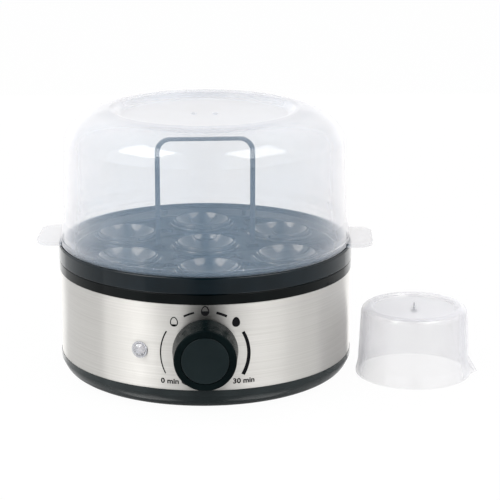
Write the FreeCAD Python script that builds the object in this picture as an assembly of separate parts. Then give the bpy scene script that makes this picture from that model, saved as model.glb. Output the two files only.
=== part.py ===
import FreeCAD
import Part
import math
import os

# A round electric egg cooker for seven eggs, with its lid on and its measuring cup beside it.
# Millimetres. +Z is up, the floor is z = 0, the cooker's axis is the Z axis, the knob faces -Y.

# Housing
BODY_RADIUS = 89.0            # outside of the steel band
BAND_WALL = 0.6
BAND_BOTTOM = 14.4
BAND_TOP = 66.0
PAN_UNDERSIDE = 2.0           # the feet lift the pan off the floor by this much
PAN_FLAT_RADIUS = 79.0        # where the underside starts to curve up
PAN_WALL = 2.4
PAN_LIP_HEIGHT = 4.0
PAN_LIP_PROUD = 0.25          # the lip stands this far outside the band
SPIGOT_HEIGHT = 5.0           # rings that hold the band from inside
SPIGOT_WALL = 2.0
SPIGOT_CLEARANCE = 0.15
COLLAR_PROUD = 0.4
COLLAR_TOP = 72.1
COLLAR_LAND_WIDTH = 5.4       # flat top of the collar that carries the tray
DECK_TOP = 69.0
DECK_THICKNESS = 2.2
KEY_RING_RADIUS = 86.4        # low ring on the collar that centres the tray
KEY_RING_WALL = 1.2
KEY_RING_HEIGHT = 3.4
EDGE_ROUND = 0.7

# Screw posts between pan and collar
POST_COUNT = 4
POST_START_ANGLE = 45.0
POST_PITCH_RADIUS = 73.5
POST_RADIUS = 4.0
POST_SPLIT = 24.0             # height where the pan's posts meet the collar's
POST_FOOT_EXTRA = 1.2         # the pan's posts are thicker than the collar's by this much
POST_SCREW_RADIUS = 1.9
POST_SCREW_REACH = 12.0       # thread length above the split
SCREW_CLEARANCE = 0.06
HEAD_RADIUS = 3.4
HEAD_HEIGHT = 2.2
HEAD_RECESS_CLEARANCE = 0.3
SLOT_LENGTH = 1.3             # of the cross slot, as shares of the head's radius
SLOT_WIDTH = 0.28
SLOT_FLOOR = 0.45             # share of the head's height left under the slot
HEAD_RECESS_FLOOR = 9.0       # depth of the screw head's seat above the underside

# Feet
FOOT_COUNT = 4
FOOT_PITCH_RADIUS = 60.0
FOOT_RADIUS = 7.0
FOOT_RECESS = 1.2
FOOT_CLEARANCE = 0.1
FOOT_ROUND = 0.6

# Underside vents
VENT_COUNT = 7
VENT_PITCH = 6.0
VENT_WIDTH = 2.4
VENT_LENGTH = 34.0

# Water bowl, its seal and the heating parts
BOWL_INNER_RADIUS = 66.0
BOWL_WALL = 1.6
BOWL_FLOOR = 60.0             # upper face of the floor
BOWL_CORNER = 5.0
BOWL_FLANGE_RADIUS = 74.0
BOWL_CLEARANCE = 0.4
SEAL_THICKNESS = 0.8
BOWL_SCREW_COUNT = 3
BOWL_SCREW_START_ANGLE = 90.0
BOWL_SCREW_RADIUS = 1.4
BOWL_SCREW_HEAD_RADIUS = 2.8
BOWL_SCREW_HEAD_HEIGHT = 1.8
ELEMENT_RING_RADIUS = 44.0
ELEMENT_TUBE_RADIUS = 3.3
ELEMENT_SWEEP = 316.0
ELEMENT_GAP_ANGLE = 0.0       # middle of the gap between the element's ends
ELEMENT_BRAZE_GAP = 0.1
PIN_RADIUS = 1.4
PIN_DROP = 12.0
SHIELD_RADIUS = 56.0
SHIELD_THICKNESS = 0.6
SHIELD_DROP = 9.0             # below the bowl's underside
SHIELD_RIM_HEIGHT = 3.0
SHIELD_HOLE_CLEARANCE = 1.6
STUD_RADIUS = 5.0
STUD_SCREW_RADIUS = 1.9
STUD_SCREW_REACH = 6.0
THERMOSTAT_RADIUS = 8.0
THERMOSTAT_CAP = 4.0
THERMOSTAT_BODY_RADIUS = 7.4
THERMOSTAT_BODY = 7.0
THERMOSTAT_OFFSET = 24.0
TAB_THICKNESS = 0.8
TAB_WIDTH = 4.8
TAB_LENGTH = 7.0
FUSE_RADIUS = 2.2
FUSE_LENGTH = 26.0
FUSE_OFFSET = 26.0
FUSE_CLIP_WALL = 0.6
FUSE_CLIP_WIDTH = 6.0

# Knob and dial
KNOB_AXIS_HEIGHT = 38.6
KNOB_REAR = 89.7              # distance of the skirt's rear edge from the cooker's axis
KNOB_FRONT = 108.2
KNOB_REAR_RADIUS = 19.0
KNOB_FRONT_RADIUS = 17.9
KNOB_WALL = 2.0
KNOB_FRONT_ROUND = 1.0
KNOB_FACE_WALL = 2.6
KNOB_DISC_RADIUS = 13.7
KNOB_DISC_GAP = 0.35
KNOB_DISC_DEPTH = 1.4
KNOB_HUB_RADIUS = 5.2
POINTER_ANGLE = 145.0         # from the top, towards the viewer's left, at the off position
POINTER_REACH = 22.0
POINTER_WIDTH = 3.4
POINTER_LENGTH = 5.0
ARBOR_RADIUS = 3.0
ARBOR_FIT = 0.05
ARBOR_FLAT = 2.2              # distance of the arbor's flat from its axis
BAND_ARBOR_HOLE = 4.2

# Clockwork timer behind the knob
TIMER_FRONT_FACE = 82.0       # distance of the front plate's outer face from the cooker's axis
TIMER_DEPTH = 23.0
PLATE_THICKNESS = 1.0
PLATE_HALF_WIDTH = 21.0
PLATE_TOP = 17.5              # above the knob axis
PLATE_BOTTOM = -27.0
PLATE_ROUND = 3.0
PILLAR_RADIUS = 2.0
PILLAR_INSET = 3.2
TIMER_SCREW_OFFSET = 12.0
TIMER_SCREW_RADIUS = 1.45
TIMER_SCREW_HEAD_RADIUS = 2.8
TIMER_SCREW_HEAD = 1.6
SPACER_RADIUS = 3.4
GEAR_MODULE = 0.5
GEAR_BACKLASH = 0.16
GEAR_CENTRE_SLACK = 0.06
GEAR_ROOT_FACTOR = 1.3
MAIN_TEETH = 60
PINION_LEAVES = 10
SECOND_TEETH = 32
THIRD_TEETH = 30
WHEEL_THICKNESS = 1.0
PINION_LENGTH = 2.2
GEAR_ARBOR_RADIUS = 1.0
GEAR_RIM = 2.2
GEAR_HUB_RADIUS = 2.6
SECOND_ANGLE = 233.13         # direction of each arbor from the one before it, in the plate's plane
THIRD_ANGLE = -20.0
ESCAPE_ANGLE = 20.0
MAIN_LEVEL = 78.8             # distances of the wheels' middles from the cooker's axis
SECOND_LEVEL = 74.4
THIRD_LEVEL = 69.6
SPOKE_COUNT = 3
SPOKE_WIDTH = 2.0
MAIN_SPOKE_COUNT = 4
MAIN_SPOKE_WIDTH = 2.4
WINDOW_MARGIN = 0.6
BARREL_RADIUS = 8.0
BARREL_DEPTH = 5.4
CAM_RADIUS = 6.0
CAM_THICKNESS = 2.0
CAM_NOTCH = 3.0
ESCAPE_CASE_SIZE = 13.0
ESCAPE_CASE_DEPTH = 5.0
CONTACT_GAP = 0.35
CONTACT_BLOCK_NEAR = 10.0     # the block's sides, from the knob axis
CONTACT_BLOCK_FAR = 19.0
CONTACT_BLOCK_BOTTOM = -6.0
CONTACT_BLOCK_TOP = 8.0
CONTACT_BLOCK_DEPTH = 7.0
LEAF_SETBACK = 5.5            # rear edge of the leaves behind the back plate
LEAF_ROOT = 16.9              # where both leaves end, inside the block
SHORT_LEAF_TIP = 7.4
LONG_LEAF_TIP = -3.0          # the long leaf reaches over the cam
SHORT_LEAF_RISE = 3.2
LEAF_SLOT_CLEARANCE = 0.02
LEAF_THICKNESS = 0.4
LEAF_WIDTH = 3.6
BELL_RADIUS = 10.0
BELL_DEPTH = 5.5
BELL_WALL = 0.8
BELL_STEM_RADIUS = 1.6
BELL_STAND_OFF = 2.0
BELL_X = -11.5                # from the knob axis
BELL_Y = -12.5

# Indicator lamp
LENS_ANGLE = -25.2            # from the knob, towards the viewer's left
LENS_HEIGHT = 36.9
LENS_FLANGE_RADIUS = 5.0
LENS_FLANGE = 0.9
LENS_BARREL_RADIUS = 4.0
LENS_BARREL_WALL = 0.9
LENS_BARREL_LENGTH = 11.0
LENS_JEWEL_RADIUS = 4.0
LENS_JEWEL_TOP_RADIUS = 2.7
LENS_JEWEL_HEIGHT = 1.3
LENS_HOLE_CLEARANCE = 0.15
RETAINER_RADIUS = 7.0
RETAINER_THICKNESS = 0.8
LAMP_RADIUS = 2.6
LAMP_LENGTH = 9.0

# Mains entry at the back
GLAND_HEIGHT = 29.0
GLAND_BORE = 3.3
GLAND_NECK = 5.6
GLAND_FLANGE = 8.0
GLAND_FLANGE_THICKNESS = 2.0
GLAND_BOOT_LENGTH = 9.0
GLAND_BOOT_END = 5.0
GLAND_INNER_LENGTH = 5.0
GLAND_FIT = 0.12
CLAMP_DISTANCE = 68.0
CLAMP_SPAN = 11.0
CLAMP_BAR = 3.0
CLAMP_POST_RADIUS = 3.4
CLAMP_SCREW_RADIUS = 1.4
CLAMP_SCREW_LENGTH = 10.0
TERMINAL_X = -38.0
TERMINAL_Y = 40.0
TERMINAL_LENGTH = 30.0
TERMINAL_DEPTH = 14.0
TERMINAL_HEIGHT = 13.0
TERMINAL_WAYS = 3
TERMINAL_PAD_HEIGHT = 2.0
TERMINAL_SCREW_WELL = 1.8     # radius
TERMINAL_SCREW_WELL_DEPTH = 5.0
TERMINAL_ENTRY = 1.6          # radius
TERMINAL_ENTRY_HEIGHT = 4.0

# Egg tray
TRAY_RADIUS = 89.6
TRAY_SKIRT_WALL = 2.2
LID_SEAT = 82.0               # top face of the tray's rim, where the lid stands
TRAY_RIM_ROUND = 1.1
TRAY_RIM_WALL = 2.0
TRAY_STEP_HEIGHT = 80.3
TRAY_STEP_RADIUS = 83.4
TRAY_FLOOR_RADIUS = 80.6
TRAY_FLOOR = 76.2
TRAY_PLATE = 2.0
LID_RIB_RADIUS = 84.6
LID_RIB_HEIGHT = 1.2
TRAY_TURN = 2.5               # how far the tray is turned from the knob, as it was put down
OUTER_CUPS = 6
CUP_PITCH_RADIUS = 55.4
CUP_RIM_HEIGHT = 80.0
CUP_RIM_RADIUS = 18.3
CUP_MOUTH_RADIUS = 16.9
CUP_STEP_RADIUS = 20.3
CUP_STEP_HEIGHT = 78.0
CUP_FOOT_RADIUS = 21.9
CUP_DEPTH = 9.0
CUP_WALL = 1.6
INNER_VENT_RADIUS = 30.0
INNER_VENT_SIZE = 13.0
INNER_VENT_ROUND = 3.0
LEAF_VENT_RADIUS = 46.8
LEAF_VENT_LENGTH = 12.5
LEAF_VENT_WIDTH = 8.0
FAN_VENT_START = 59.5
FAN_VENT_END = 76.5
FAN_VENT_SPREAD = 20.0
FAN_VENT_TIP = 3.0
SOCKET_RADIUS = 4.0
SOCKET_HEIGHT = 2.6

# Tray handle
HANDLE_HALF_SPAN = 29.0       # axis of each leg
HANDLE_LEG = 3.1
HANDLE_DEPTH = 3.1
HANDLE_BAR = 2.2
HANDLE_TOP = 145.0
HANDLE_CORNER = 9.0
HANDLE_FOOT = 72.6
HANDLE_EDGE = 0.6
HANDLE_FIT = 0.1

# Lid
LID_TURN = -2.6
LID_WALL = 1.6
LID_RIM_RADIUS = 88.3
LID_RIM_HEIGHT = 4.0
LID_RIM_ROUND = 1.2
LID_BAND_RADIUS = 87.7
LID_BAND_TOP = 89.3
LID_FLARE_TOP = 96.0
LID_FOOT_RADIUS = 86.1
LID_SHOULDER_RADIUS = 84.4
LID_SHOULDER_HEIGHT = 142.3
LID_CROWN_HEIGHT = 164.1
LID_CROWN_RADIUS = 50.6
LID_RIDGE_RADIUS = 57.5
LID_DISC_RADIUS = 50.0
LID_DISC_HEIGHT = 159.2
LID_VENT_RADIUS = 1.1
LID_VENT_SPACING = 13.2
LID_VENT_BOSS = 1.9
LID_VENT_BOSS_HEIGHT = 0.8
GRIP_REACH = 102.0
GRIP_WIDTH = 42.0
GRIP_THICKNESS = 2.2
GRIP_CORNER = 9.0

# Measuring cup, standing on its mouth
MEASURE_X = 127.75
MEASURE_Y = -14.45
MEASURE_HEIGHT = 42.5
MEASURE_TOP_RADIUS = 32.3
MEASURE_MOUTH_RADIUS = 34.0
MEASURE_FLARE_RADIUS = 35.2
MEASURE_FLARE_HEIGHT = 7.0
MEASURE_WALL = 1.5
MEASURE_SHOULDER = 4.5
MEASURE_DISH_RADIUS = 25.0
MEASURE_DISH_DEPTH = 1.8
SPOUT_REACH = 40.4
SPOUT_HEIGHT = 11.0
SPOUT_HALF_WIDTH = 8.0
PIERCER_RADIUS = 0.5
PIERCER_HEIGHT = 4.2
PIERCER_BASE_RADIUS = 2.2
PIERCER_BASE = 1.2

Vec = FreeCAD.Vector
ORIGIN = Vec(0, 0, 0)
UP = Vec(0, 0, 1)

# Values that follow from the sizes above
BAND_INNER = BODY_RADIUS - BAND_WALL
SPIGOT_OUTER = BAND_INNER - SPIGOT_CLEARANCE
SPIGOT_INNER = SPIGOT_OUTER - SPIGOT_WALL
PAN_LIP_RADIUS = BODY_RADIUS + PAN_LIP_PROUD
PAN_FLOOR = PAN_UNDERSIDE + PAN_WALL
COLLAR_RADIUS = BODY_RADIUS + COLLAR_PROUD
DECK_UNDERSIDE = DECK_TOP - DECK_THICKNESS
BOWL_OUTER = BOWL_INNER_RADIUS + BOWL_WALL
DECK_OPENING = BOWL_OUTER + BOWL_CLEARANCE
FLANGE_UNDERSIDE = DECK_TOP + SEAL_THICKNESS
BOWL_UNDERSIDE = BOWL_FLOOR - BOWL_WALL
BOWL_SCREW_PITCH = (DECK_OPENING + BOWL_FLANGE_RADIUS) / 2
SHIELD_HEIGHT = BOWL_UNDERSIDE - SHIELD_DROP
TIMER_BACK_FACE = TIMER_FRONT_FACE - TIMER_DEPTH
TRAY_RIM_INNER = TRAY_RADIUS - TRAY_SKIRT_WALL


# Shape helpers

def rounded_wire(corners):
    """Closed wire in the XZ plane through (x, z, radius) corners, each rounded by its radius."""
    count = len(corners)
    starts = []
    middles = []
    ends = []
    for index in range(count):
        x, z, radius = corners[index]
        corner = Vec(x, 0, z)
        before = corners[index - 1]
        after = corners[(index + 1) % count]
        back = (Vec(before[0], 0, before[1]) - corner).normalize()
        ahead = (Vec(after[0], 0, after[1]) - corner).normalize()
        if radius <= 0:
            starts.append(corner)
            middles.append(None)
            ends.append(corner)
            continue
        half = back.getAngle(ahead) / 2
        reach = radius / math.tan(half)
        bisector = (back + ahead).normalize()
        centre = corner + bisector * (radius / math.sin(half))
        starts.append(corner + back * reach)
        middles.append(centre - bisector * radius)
        ends.append(corner + ahead * reach)
    edges = []
    for index in range(count):
        if middles[index] is not None:
            edges.append(Part.Arc(starts[index], middles[index], ends[index]).toShape())
        following = starts[(index + 1) % count]
        if ends[index].distanceToPoint(following) > 1e-6:
            edges.append(Part.LineSegment(ends[index], following).toShape())
    return Part.Wire(edges)


def turned(corners):
    """Solid of revolution about Z of a rounded outline of (radius, height, rounding) corners."""
    return Part.Face(rounded_wire(corners)).revolve(ORIGIN, UP, 360)


def prism(corners, low, high):
    """Solid with a rounded outline of (x, y, rounding) corners, from height low to height high."""
    face = Part.Face(rounded_wire(corners))
    face.rotate(ORIGIN, Vec(1, 0, 0), -90)
    face.translate(Vec(0, 0, low))
    return face.extrude(Vec(0, 0, high - low))


def rectangle(width, depth, rounding):
    """Corners of a rectangle centred on the origin."""
    x = width / 2
    y = depth / 2
    return [(-x, -y, rounding), (x, -y, rounding), (x, y, rounding), (-x, y, rounding)]


def post(radius, low, high, x=0.0, y=0.0):
    """Upright cylinder."""
    return Part.makeCylinder(radius, high - low, Vec(x, y, low))


def placed(shape, distance, angle):
    """Copy of a shape moved out along +X by a distance and then turned about Z."""
    copy = shape.copy()
    copy.translate(Vec(distance, 0, 0))
    copy.rotate(ORIGIN, UP, angle)
    return copy


def around(shape, distance, count, start):
    """Copies of a shape, evenly spaced round the Z axis."""
    return [placed(shape, distance, start + 360.0 * index / count) for index in range(count)]


def facing_front(shape, height=KNOB_AXIS_HEIGHT):
    """Turns a shape modelled along +Z to face -Y, with its own Y axis upwards."""
    copy = shape.copy()
    copy.rotate(ORIGIN, Vec(1, 0, 0), 90)
    copy.translate(Vec(0, 0, height))
    return copy


def fused(shapes):
    """One solid from several that touch."""
    result = shapes[0]
    if len(shapes) > 1:
        result = shapes[0].multiFuse(shapes[1:])
    return result.removeSplitter()


def cut(shape, tools):
    """A shape less several others."""
    return shape.cut(Part.makeCompound(tools)) if len(tools) > 1 else shape.cut(tools[0])


def save(name, shapes):
    """Writes one node; a list is a group of separate solids."""
    solids = []
    for shape in shapes if isinstance(shapes, list) else [shapes]:
        solids.extend(shape.Solids)
    for solid in solids:
        if not solid.isValid() or solid.Volume <= 0:
            raise ValueError(name + " is not a sound solid")
    shape = solids[0] if len(solids) == 1 else Part.makeCompound(solids)
    shape.exportStep("parts/" + name + ".step")


# Housing

def post_positions():
    """Angles of the posts that join the pan to the collar."""
    return [POST_START_ANGLE + 360.0 * index / POST_COUNT for index in range(POST_COUNT)]


def base_pan():
    """Moulded floor of the housing: curved wall, lip, spigot, screw posts, vents and foot recesses."""
    curve_start = Vec(PAN_FLAT_RADIUS, 0, PAN_UNDERSIDE)
    crease = BAND_BOTTOM - PAN_LIP_HEIGHT
    curve_end = Vec(PAN_LIP_RADIUS - EDGE_ROUND, 0, crease)
    bulge = Vec(
        PAN_FLAT_RADIUS + 0.72 * (curve_end.x - curve_start.x),
        0,
        PAN_UNDERSIDE + 0.34 * (crease - PAN_UNDERSIDE),
    )
    inner_start = Vec(PAN_FLAT_RADIUS - PAN_WALL / 2, 0, PAN_FLOOR)
    inner_end = Vec(SPIGOT_INNER, 0, BAND_BOTTOM)
    inner_bulge = Vec(bulge.x - PAN_WALL, 0, bulge.z + PAN_WALL)
    lip_low = Vec(PAN_LIP_RADIUS, 0, crease + 0.2)
    lip_high = Vec(PAN_LIP_RADIUS, 0, BAND_BOTTOM)
    spigot_top = BAND_BOTTOM + SPIGOT_HEIGHT
    points = [
        curve_end,
        lip_low,
        lip_high,
        Vec(SPIGOT_OUTER, 0, BAND_BOTTOM),
        Vec(SPIGOT_OUTER, 0, spigot_top),
        Vec(SPIGOT_INNER, 0, spigot_top),
        inner_end,
    ]
    edges = [Part.Arc(curve_start, bulge, curve_end).toShape()]
    for first, second in zip(points, points[1:]):
        edges.append(Part.LineSegment(first, second).toShape())
    edges.append(Part.Arc(inner_end, inner_bulge, inner_start).toShape())
    edges.append(Part.LineSegment(inner_start, Vec(0, 0, PAN_FLOOR)).toShape())
    edges.append(Part.LineSegment(Vec(0, 0, PAN_FLOOR), Vec(0, 0, PAN_UNDERSIDE)).toShape())
    edges.append(Part.LineSegment(Vec(0, 0, PAN_UNDERSIDE), curve_start).toShape())
    shell = Part.Face(Part.Wire(edges)).revolve(ORIGIN, UP, 360)
    column = post(POST_RADIUS + POST_FOOT_EXTRA, PAN_UNDERSIDE + 0.5, POST_SPLIT)
    columns = around(column, POST_PITCH_RADIUS, POST_COUNT, POST_START_ANGLE)
    clamp_posts = [clamp_post(side) for side in (-1, 1)]
    terminal_pad = prism(rectangle(TERMINAL_LENGTH, TERMINAL_DEPTH, 1.0),
                         PAN_FLOOR - 0.5, PAN_FLOOR + TERMINAL_PAD_HEIGHT)
    terminal_pad.translate(Vec(TERMINAL_X, TERMINAL_Y, 0))
    body = fused([shell] + columns + clamp_posts + [terminal_pad])
    recess = post(HEAD_RADIUS + HEAD_RECESS_CLEARANCE, 0, PAN_UNDERSIDE + HEAD_RECESS_FLOOR)
    shank = post(POST_SCREW_RADIUS + SCREW_CLEARANCE, 0, POST_SPLIT + 1)
    tools = around(fused([recess, shank]), POST_PITCH_RADIUS, POST_COUNT, POST_START_ANGLE)
    foot_recess = post(FOOT_RADIUS + FOOT_CLEARANCE, 0, PAN_UNDERSIDE + FOOT_RECESS)
    tools += around(foot_recess, FOOT_PITCH_RADIUS, FOOT_COUNT, 0)
    for index in range(VENT_COUNT):
        slot = prism(rectangle(VENT_WIDTH, VENT_LENGTH, VENT_WIDTH / 2 - 0.01), 0, PAN_FLOOR + 1)
        slot.translate(Vec((index - (VENT_COUNT - 1) / 2) * VENT_PITCH, 0, 0))
        tools.append(slot)
    for side in (-1, 1):
        tools.append(post(CLAMP_SCREW_RADIUS + SCREW_CLEARANCE, PAN_FLOOR + 2, clamp_seat() + 1,
                          side * CLAMP_SPAN, CLAMP_DISTANCE))
    return cut(body, tools)


def clamp_seat():
    """Height of the posts under the cord clamp's bar: the cord's lower side."""
    return GLAND_HEIGHT - GLAND_BORE


def clamp_post(side):
    """Post for one screw of the cord clamp."""
    return post(CLAMP_POST_RADIUS, PAN_FLOOR - 0.5, clamp_seat(), side * CLAMP_SPAN, CLAMP_DISTANCE)


def rubber_feet():
    """Round feet in the pan's recesses."""
    top = PAN_UNDERSIDE + FOOT_RECESS
    foot = turned([(0, 0, 0), (FOOT_RADIUS, 0, FOOT_ROUND), (FOOT_RADIUS, top, 0), (0, top, 0)])
    return around(foot, FOOT_PITCH_RADIUS, FOOT_COUNT, 0)


def screw(head_radius, head_height, shank_radius, length):
    """Screw pointing up, its head below z = 0, with a cross slot in the head."""
    head = turned([(0, -head_height, 0), (head_radius, -head_height, 0.5), (head_radius, 0, 0), (0, 0, 0)])
    shank = turned([(0, -0.2, 0), (shank_radius, -0.2, 0), (shank_radius, length - shank_radius, 0),
                    (0.3, length, 0), (0, length, 0)])
    slots = []
    for angle in (0, 90):
        slot = prism(rectangle(head_radius * SLOT_LENGTH, head_radius * SLOT_WIDTH, 0),
                     -head_height - 1, -head_height * SLOT_FLOOR)
        slot.rotate(ORIGIN, UP, angle)
        slots.append(slot)
    return cut(fused([head, shank]), slots)


def base_screws():
    """Long screws from the underside through the pan's posts into the collar's."""
    seat = PAN_UNDERSIDE + HEAD_RECESS_FLOOR
    length = POST_SPLIT + POST_SCREW_REACH - seat
    one = screw(HEAD_RADIUS, HEAD_HEIGHT, POST_SCREW_RADIUS, length)
    one.translate(Vec(0, 0, seat))
    return around(one, POST_PITCH_RADIUS, POST_COUNT, POST_START_ANGLE)


def steel_band():
    """Rolled band with its holes for the arbor, the timer screws, the lamp and the cord gland."""
    band = cut(post(BODY_RADIUS, BAND_BOTTOM, BAND_TOP), [post(BAND_INNER, BAND_BOTTOM - 1, BAND_TOP + 1)])
    reach = BODY_RADIUS + 5
    start = BAND_INNER - 12
    tools = [facing_front(post(BAND_ARBOR_HOLE, start, reach))]
    for side in (-1, 1):
        hole = post(TIMER_SCREW_RADIUS + 0.15, start, reach, side * TIMER_SCREW_OFFSET)
        tools.append(facing_front(hole))
    lamp_hole = facing_front(post(LENS_BARREL_RADIUS + LENS_HOLE_CLEARANCE, start, reach), LENS_HEIGHT)
    lamp_hole.rotate(ORIGIN, UP, LENS_ANGLE)
    tools.append(lamp_hole)
    gland_hole = facing_front(post(GLAND_NECK + GLAND_FIT, start, reach), GLAND_HEIGHT)
    gland_hole.rotate(ORIGIN, UP, 180)
    tools.append(gland_hole)
    return cut(band, tools)


def top_collar():
    """Moulded ring on top of the band: tray land, centring ring, deck for the bowl, screw posts."""
    low = BAND_TOP - SPIGOT_HEIGHT
    land_inner = COLLAR_RADIUS - COLLAR_LAND_WIDTH
    key_inner = KEY_RING_RADIUS - KEY_RING_WALL
    ring = turned([
        (SPIGOT_INNER, low, 0),
        (SPIGOT_OUTER, low, 0),
        (SPIGOT_OUTER, BAND_TOP, 0),
        (COLLAR_RADIUS, BAND_TOP, EDGE_ROUND / 2),
        (COLLAR_RADIUS, COLLAR_TOP, EDGE_ROUND),
        (KEY_RING_RADIUS, COLLAR_TOP, 0),
        (KEY_RING_RADIUS, COLLAR_TOP + KEY_RING_HEIGHT, 0.4),
        (key_inner, COLLAR_TOP + KEY_RING_HEIGHT, 0.4),
        (key_inner, COLLAR_TOP, 0),
        (land_inner, COLLAR_TOP, 0.6),
        (land_inner, DECK_TOP, 0),
        (DECK_OPENING, DECK_TOP, 0),
        (DECK_OPENING, DECK_UNDERSIDE, 0),
        (SPIGOT_INNER, DECK_UNDERSIDE, 0),
    ])
    column = post(POST_RADIUS, POST_SPLIT, DECK_UNDERSIDE + 0.5)
    body = fused([ring] + around(column, POST_PITCH_RADIUS, POST_COUNT, POST_START_ANGLE))
    pilot = post(POST_SCREW_RADIUS + SCREW_CLEARANCE, POST_SPLIT - 1, POST_SPLIT + POST_SCREW_REACH + 2)
    tools = around(pilot, POST_PITCH_RADIUS, POST_COUNT, POST_START_ANGLE)
    hole = post(BOWL_SCREW_RADIUS + 0.2, DECK_UNDERSIDE - 1, DECK_TOP + 1)
    tools += around(hole, BOWL_SCREW_PITCH, BOWL_SCREW_COUNT, BOWL_SCREW_START_ANGLE)
    return cut(body, tools)


# Water bowl and heating parts

def heating_bowl():
    """Shallow coated bowl that boils the water, with its flange and the stud for the heat shield."""
    flange_top = FLANGE_UNDERSIDE + BOWL_WALL
    body = turned([
        (0, BOWL_UNDERSIDE, 0),
        (BOWL_OUTER, BOWL_UNDERSIDE, BOWL_CORNER + BOWL_WALL),
        (BOWL_OUTER, FLANGE_UNDERSIDE, 0),
        (BOWL_FLANGE_RADIUS, FLANGE_UNDERSIDE, 0.5),
        (BOWL_FLANGE_RADIUS, flange_top, 0.5),
        (BOWL_INNER_RADIUS, flange_top, 0.8),
        (BOWL_INNER_RADIUS, BOWL_FLOOR, BOWL_CORNER),
        (0, BOWL_FLOOR, 0),
    ])
    stud = post(STUD_RADIUS, SHIELD_HEIGHT + SHIELD_THICKNESS, BOWL_UNDERSIDE + 0.5)
    tools = [post(STUD_SCREW_RADIUS + SCREW_CLEARANCE, SHIELD_HEIGHT - 1,
                  SHIELD_HEIGHT + STUD_SCREW_REACH + 1)]
    hole = post(BOWL_SCREW_RADIUS + SCREW_CLEARANCE, FLANGE_UNDERSIDE - 1, flange_top + 1)
    tools += around(hole, BOWL_SCREW_PITCH, BOWL_SCREW_COUNT, BOWL_SCREW_START_ANGLE)
    return cut(fused([body, stud]), tools)


def bowl_seal():
    """Flat silicone ring between the bowl's flange and the deck."""
    ring = cut(post(BOWL_FLANGE_RADIUS, DECK_TOP, FLANGE_UNDERSIDE),
               [post(DECK_OPENING, DECK_TOP - 1, FLANGE_UNDERSIDE + 1)])
    hole = post(BOWL_SCREW_RADIUS + 0.2, DECK_TOP - 1, FLANGE_UNDERSIDE + 1)
    return cut(ring, around(hole, BOWL_SCREW_PITCH, BOWL_SCREW_COUNT, BOWL_SCREW_START_ANGLE))


def bowl_screws():
    """Screws up through the deck and the seal into the bowl's flange."""
    length = FLANGE_UNDERSIDE + BOWL_WALL - DECK_UNDERSIDE
    one = screw(BOWL_SCREW_HEAD_RADIUS, BOWL_SCREW_HEAD_HEIGHT, BOWL_SCREW_RADIUS, length)
    one.translate(Vec(0, 0, DECK_UNDERSIDE))
    return around(one, BOWL_SCREW_PITCH, BOWL_SCREW_COUNT, BOWL_SCREW_START_ANGLE)


def element_end_angles():
    """Angles of the element's two ends."""
    half_gap = (360.0 - ELEMENT_SWEEP) / 2
    return (ELEMENT_GAP_ANGLE + half_gap, ELEMENT_GAP_ANGLE - half_gap)


def heating_element():
    """Tubular element brazed under the bowl, with a cold pin turned down at each end."""
    height = BOWL_UNDERSIDE - ELEMENT_TUBE_RADIUS - ELEMENT_BRAZE_GAP
    profile = Part.Face(Part.Wire(Part.makeCircle(ELEMENT_TUBE_RADIUS, Vec(ELEMENT_RING_RADIUS, 0, height),
                                                  Vec(0, 1, 0))))
    ring = profile.revolve(ORIGIN, UP, ELEMENT_SWEEP)
    first, last = element_end_angles()
    ring.rotate(ORIGIN, UP, first)
    pins = []
    inset = math.degrees(ELEMENT_TUBE_RADIUS / ELEMENT_RING_RADIUS)
    for angle in (first + inset, last - inset):
        pins.append(placed(post(PIN_RADIUS, height - PIN_DROP, height), ELEMENT_RING_RADIUS, angle))
    return fused([ring] + pins)


def heat_shield():
    """Pressed plate under the element, with holes for the cold pins, the thermostat and the screw."""
    inner = SHIELD_RADIUS - SHIELD_THICKNESS
    floor = SHIELD_HEIGHT + SHIELD_THICKNESS
    plate = turned([
        (0, SHIELD_HEIGHT, 0),
        (SHIELD_RADIUS, SHIELD_HEIGHT, 1.4),
        (SHIELD_RADIUS, SHIELD_HEIGHT + SHIELD_RIM_HEIGHT, 0),
        (inner, SHIELD_HEIGHT + SHIELD_RIM_HEIGHT, 0),
        (inner, floor, 0.8),
        (0, floor, 0),
    ])
    low = SHIELD_HEIGHT - 1
    high = floor + 1
    inset = math.degrees(ELEMENT_TUBE_RADIUS / ELEMENT_RING_RADIUS)
    first, last = element_end_angles()
    tools = [post(STUD_SCREW_RADIUS + 0.2, low, high)]
    for angle in (first + inset, last - inset):
        tools.append(placed(post(PIN_RADIUS + SHIELD_HOLE_CLEARANCE, low, high), ELEMENT_RING_RADIUS, angle))
    tools.append(placed(post(THERMOSTAT_RADIUS + SHIELD_HOLE_CLEARANCE, low, high), THERMOSTAT_OFFSET, 180))
    return cut(plate, tools)


def shield_screw():
    """Screw that holds the heat shield to the bowl's stud."""
    one = screw(HEAD_RADIUS, HEAD_HEIGHT, STUD_SCREW_RADIUS, STUD_SCREW_REACH)
    one.translate(Vec(0, 0, SHIELD_HEIGHT))
    return one


def thermostat():
    """Disc thermostat pressed to the bowl's underside, with two push-on tabs."""
    cap_low = BOWL_UNDERSIDE - THERMOSTAT_CAP
    body_low = cap_low - THERMOSTAT_BODY
    cap = post(THERMOSTAT_RADIUS, cap_low, BOWL_UNDERSIDE)
    body = post(THERMOSTAT_BODY_RADIUS, body_low, cap_low + 0.1)
    tabs = []
    for side in (-1, 1):
        tab = prism(rectangle(TAB_THICKNESS, TAB_WIDTH, 0), body_low - TAB_LENGTH, body_low + 0.5)
        tab.translate(Vec(side * THERMOSTAT_BODY_RADIUS * 0.55, 0, 0))
        tabs.append(tab)
    return placed(fused([cap, body] + tabs), THERMOSTAT_OFFSET, 180)


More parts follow.
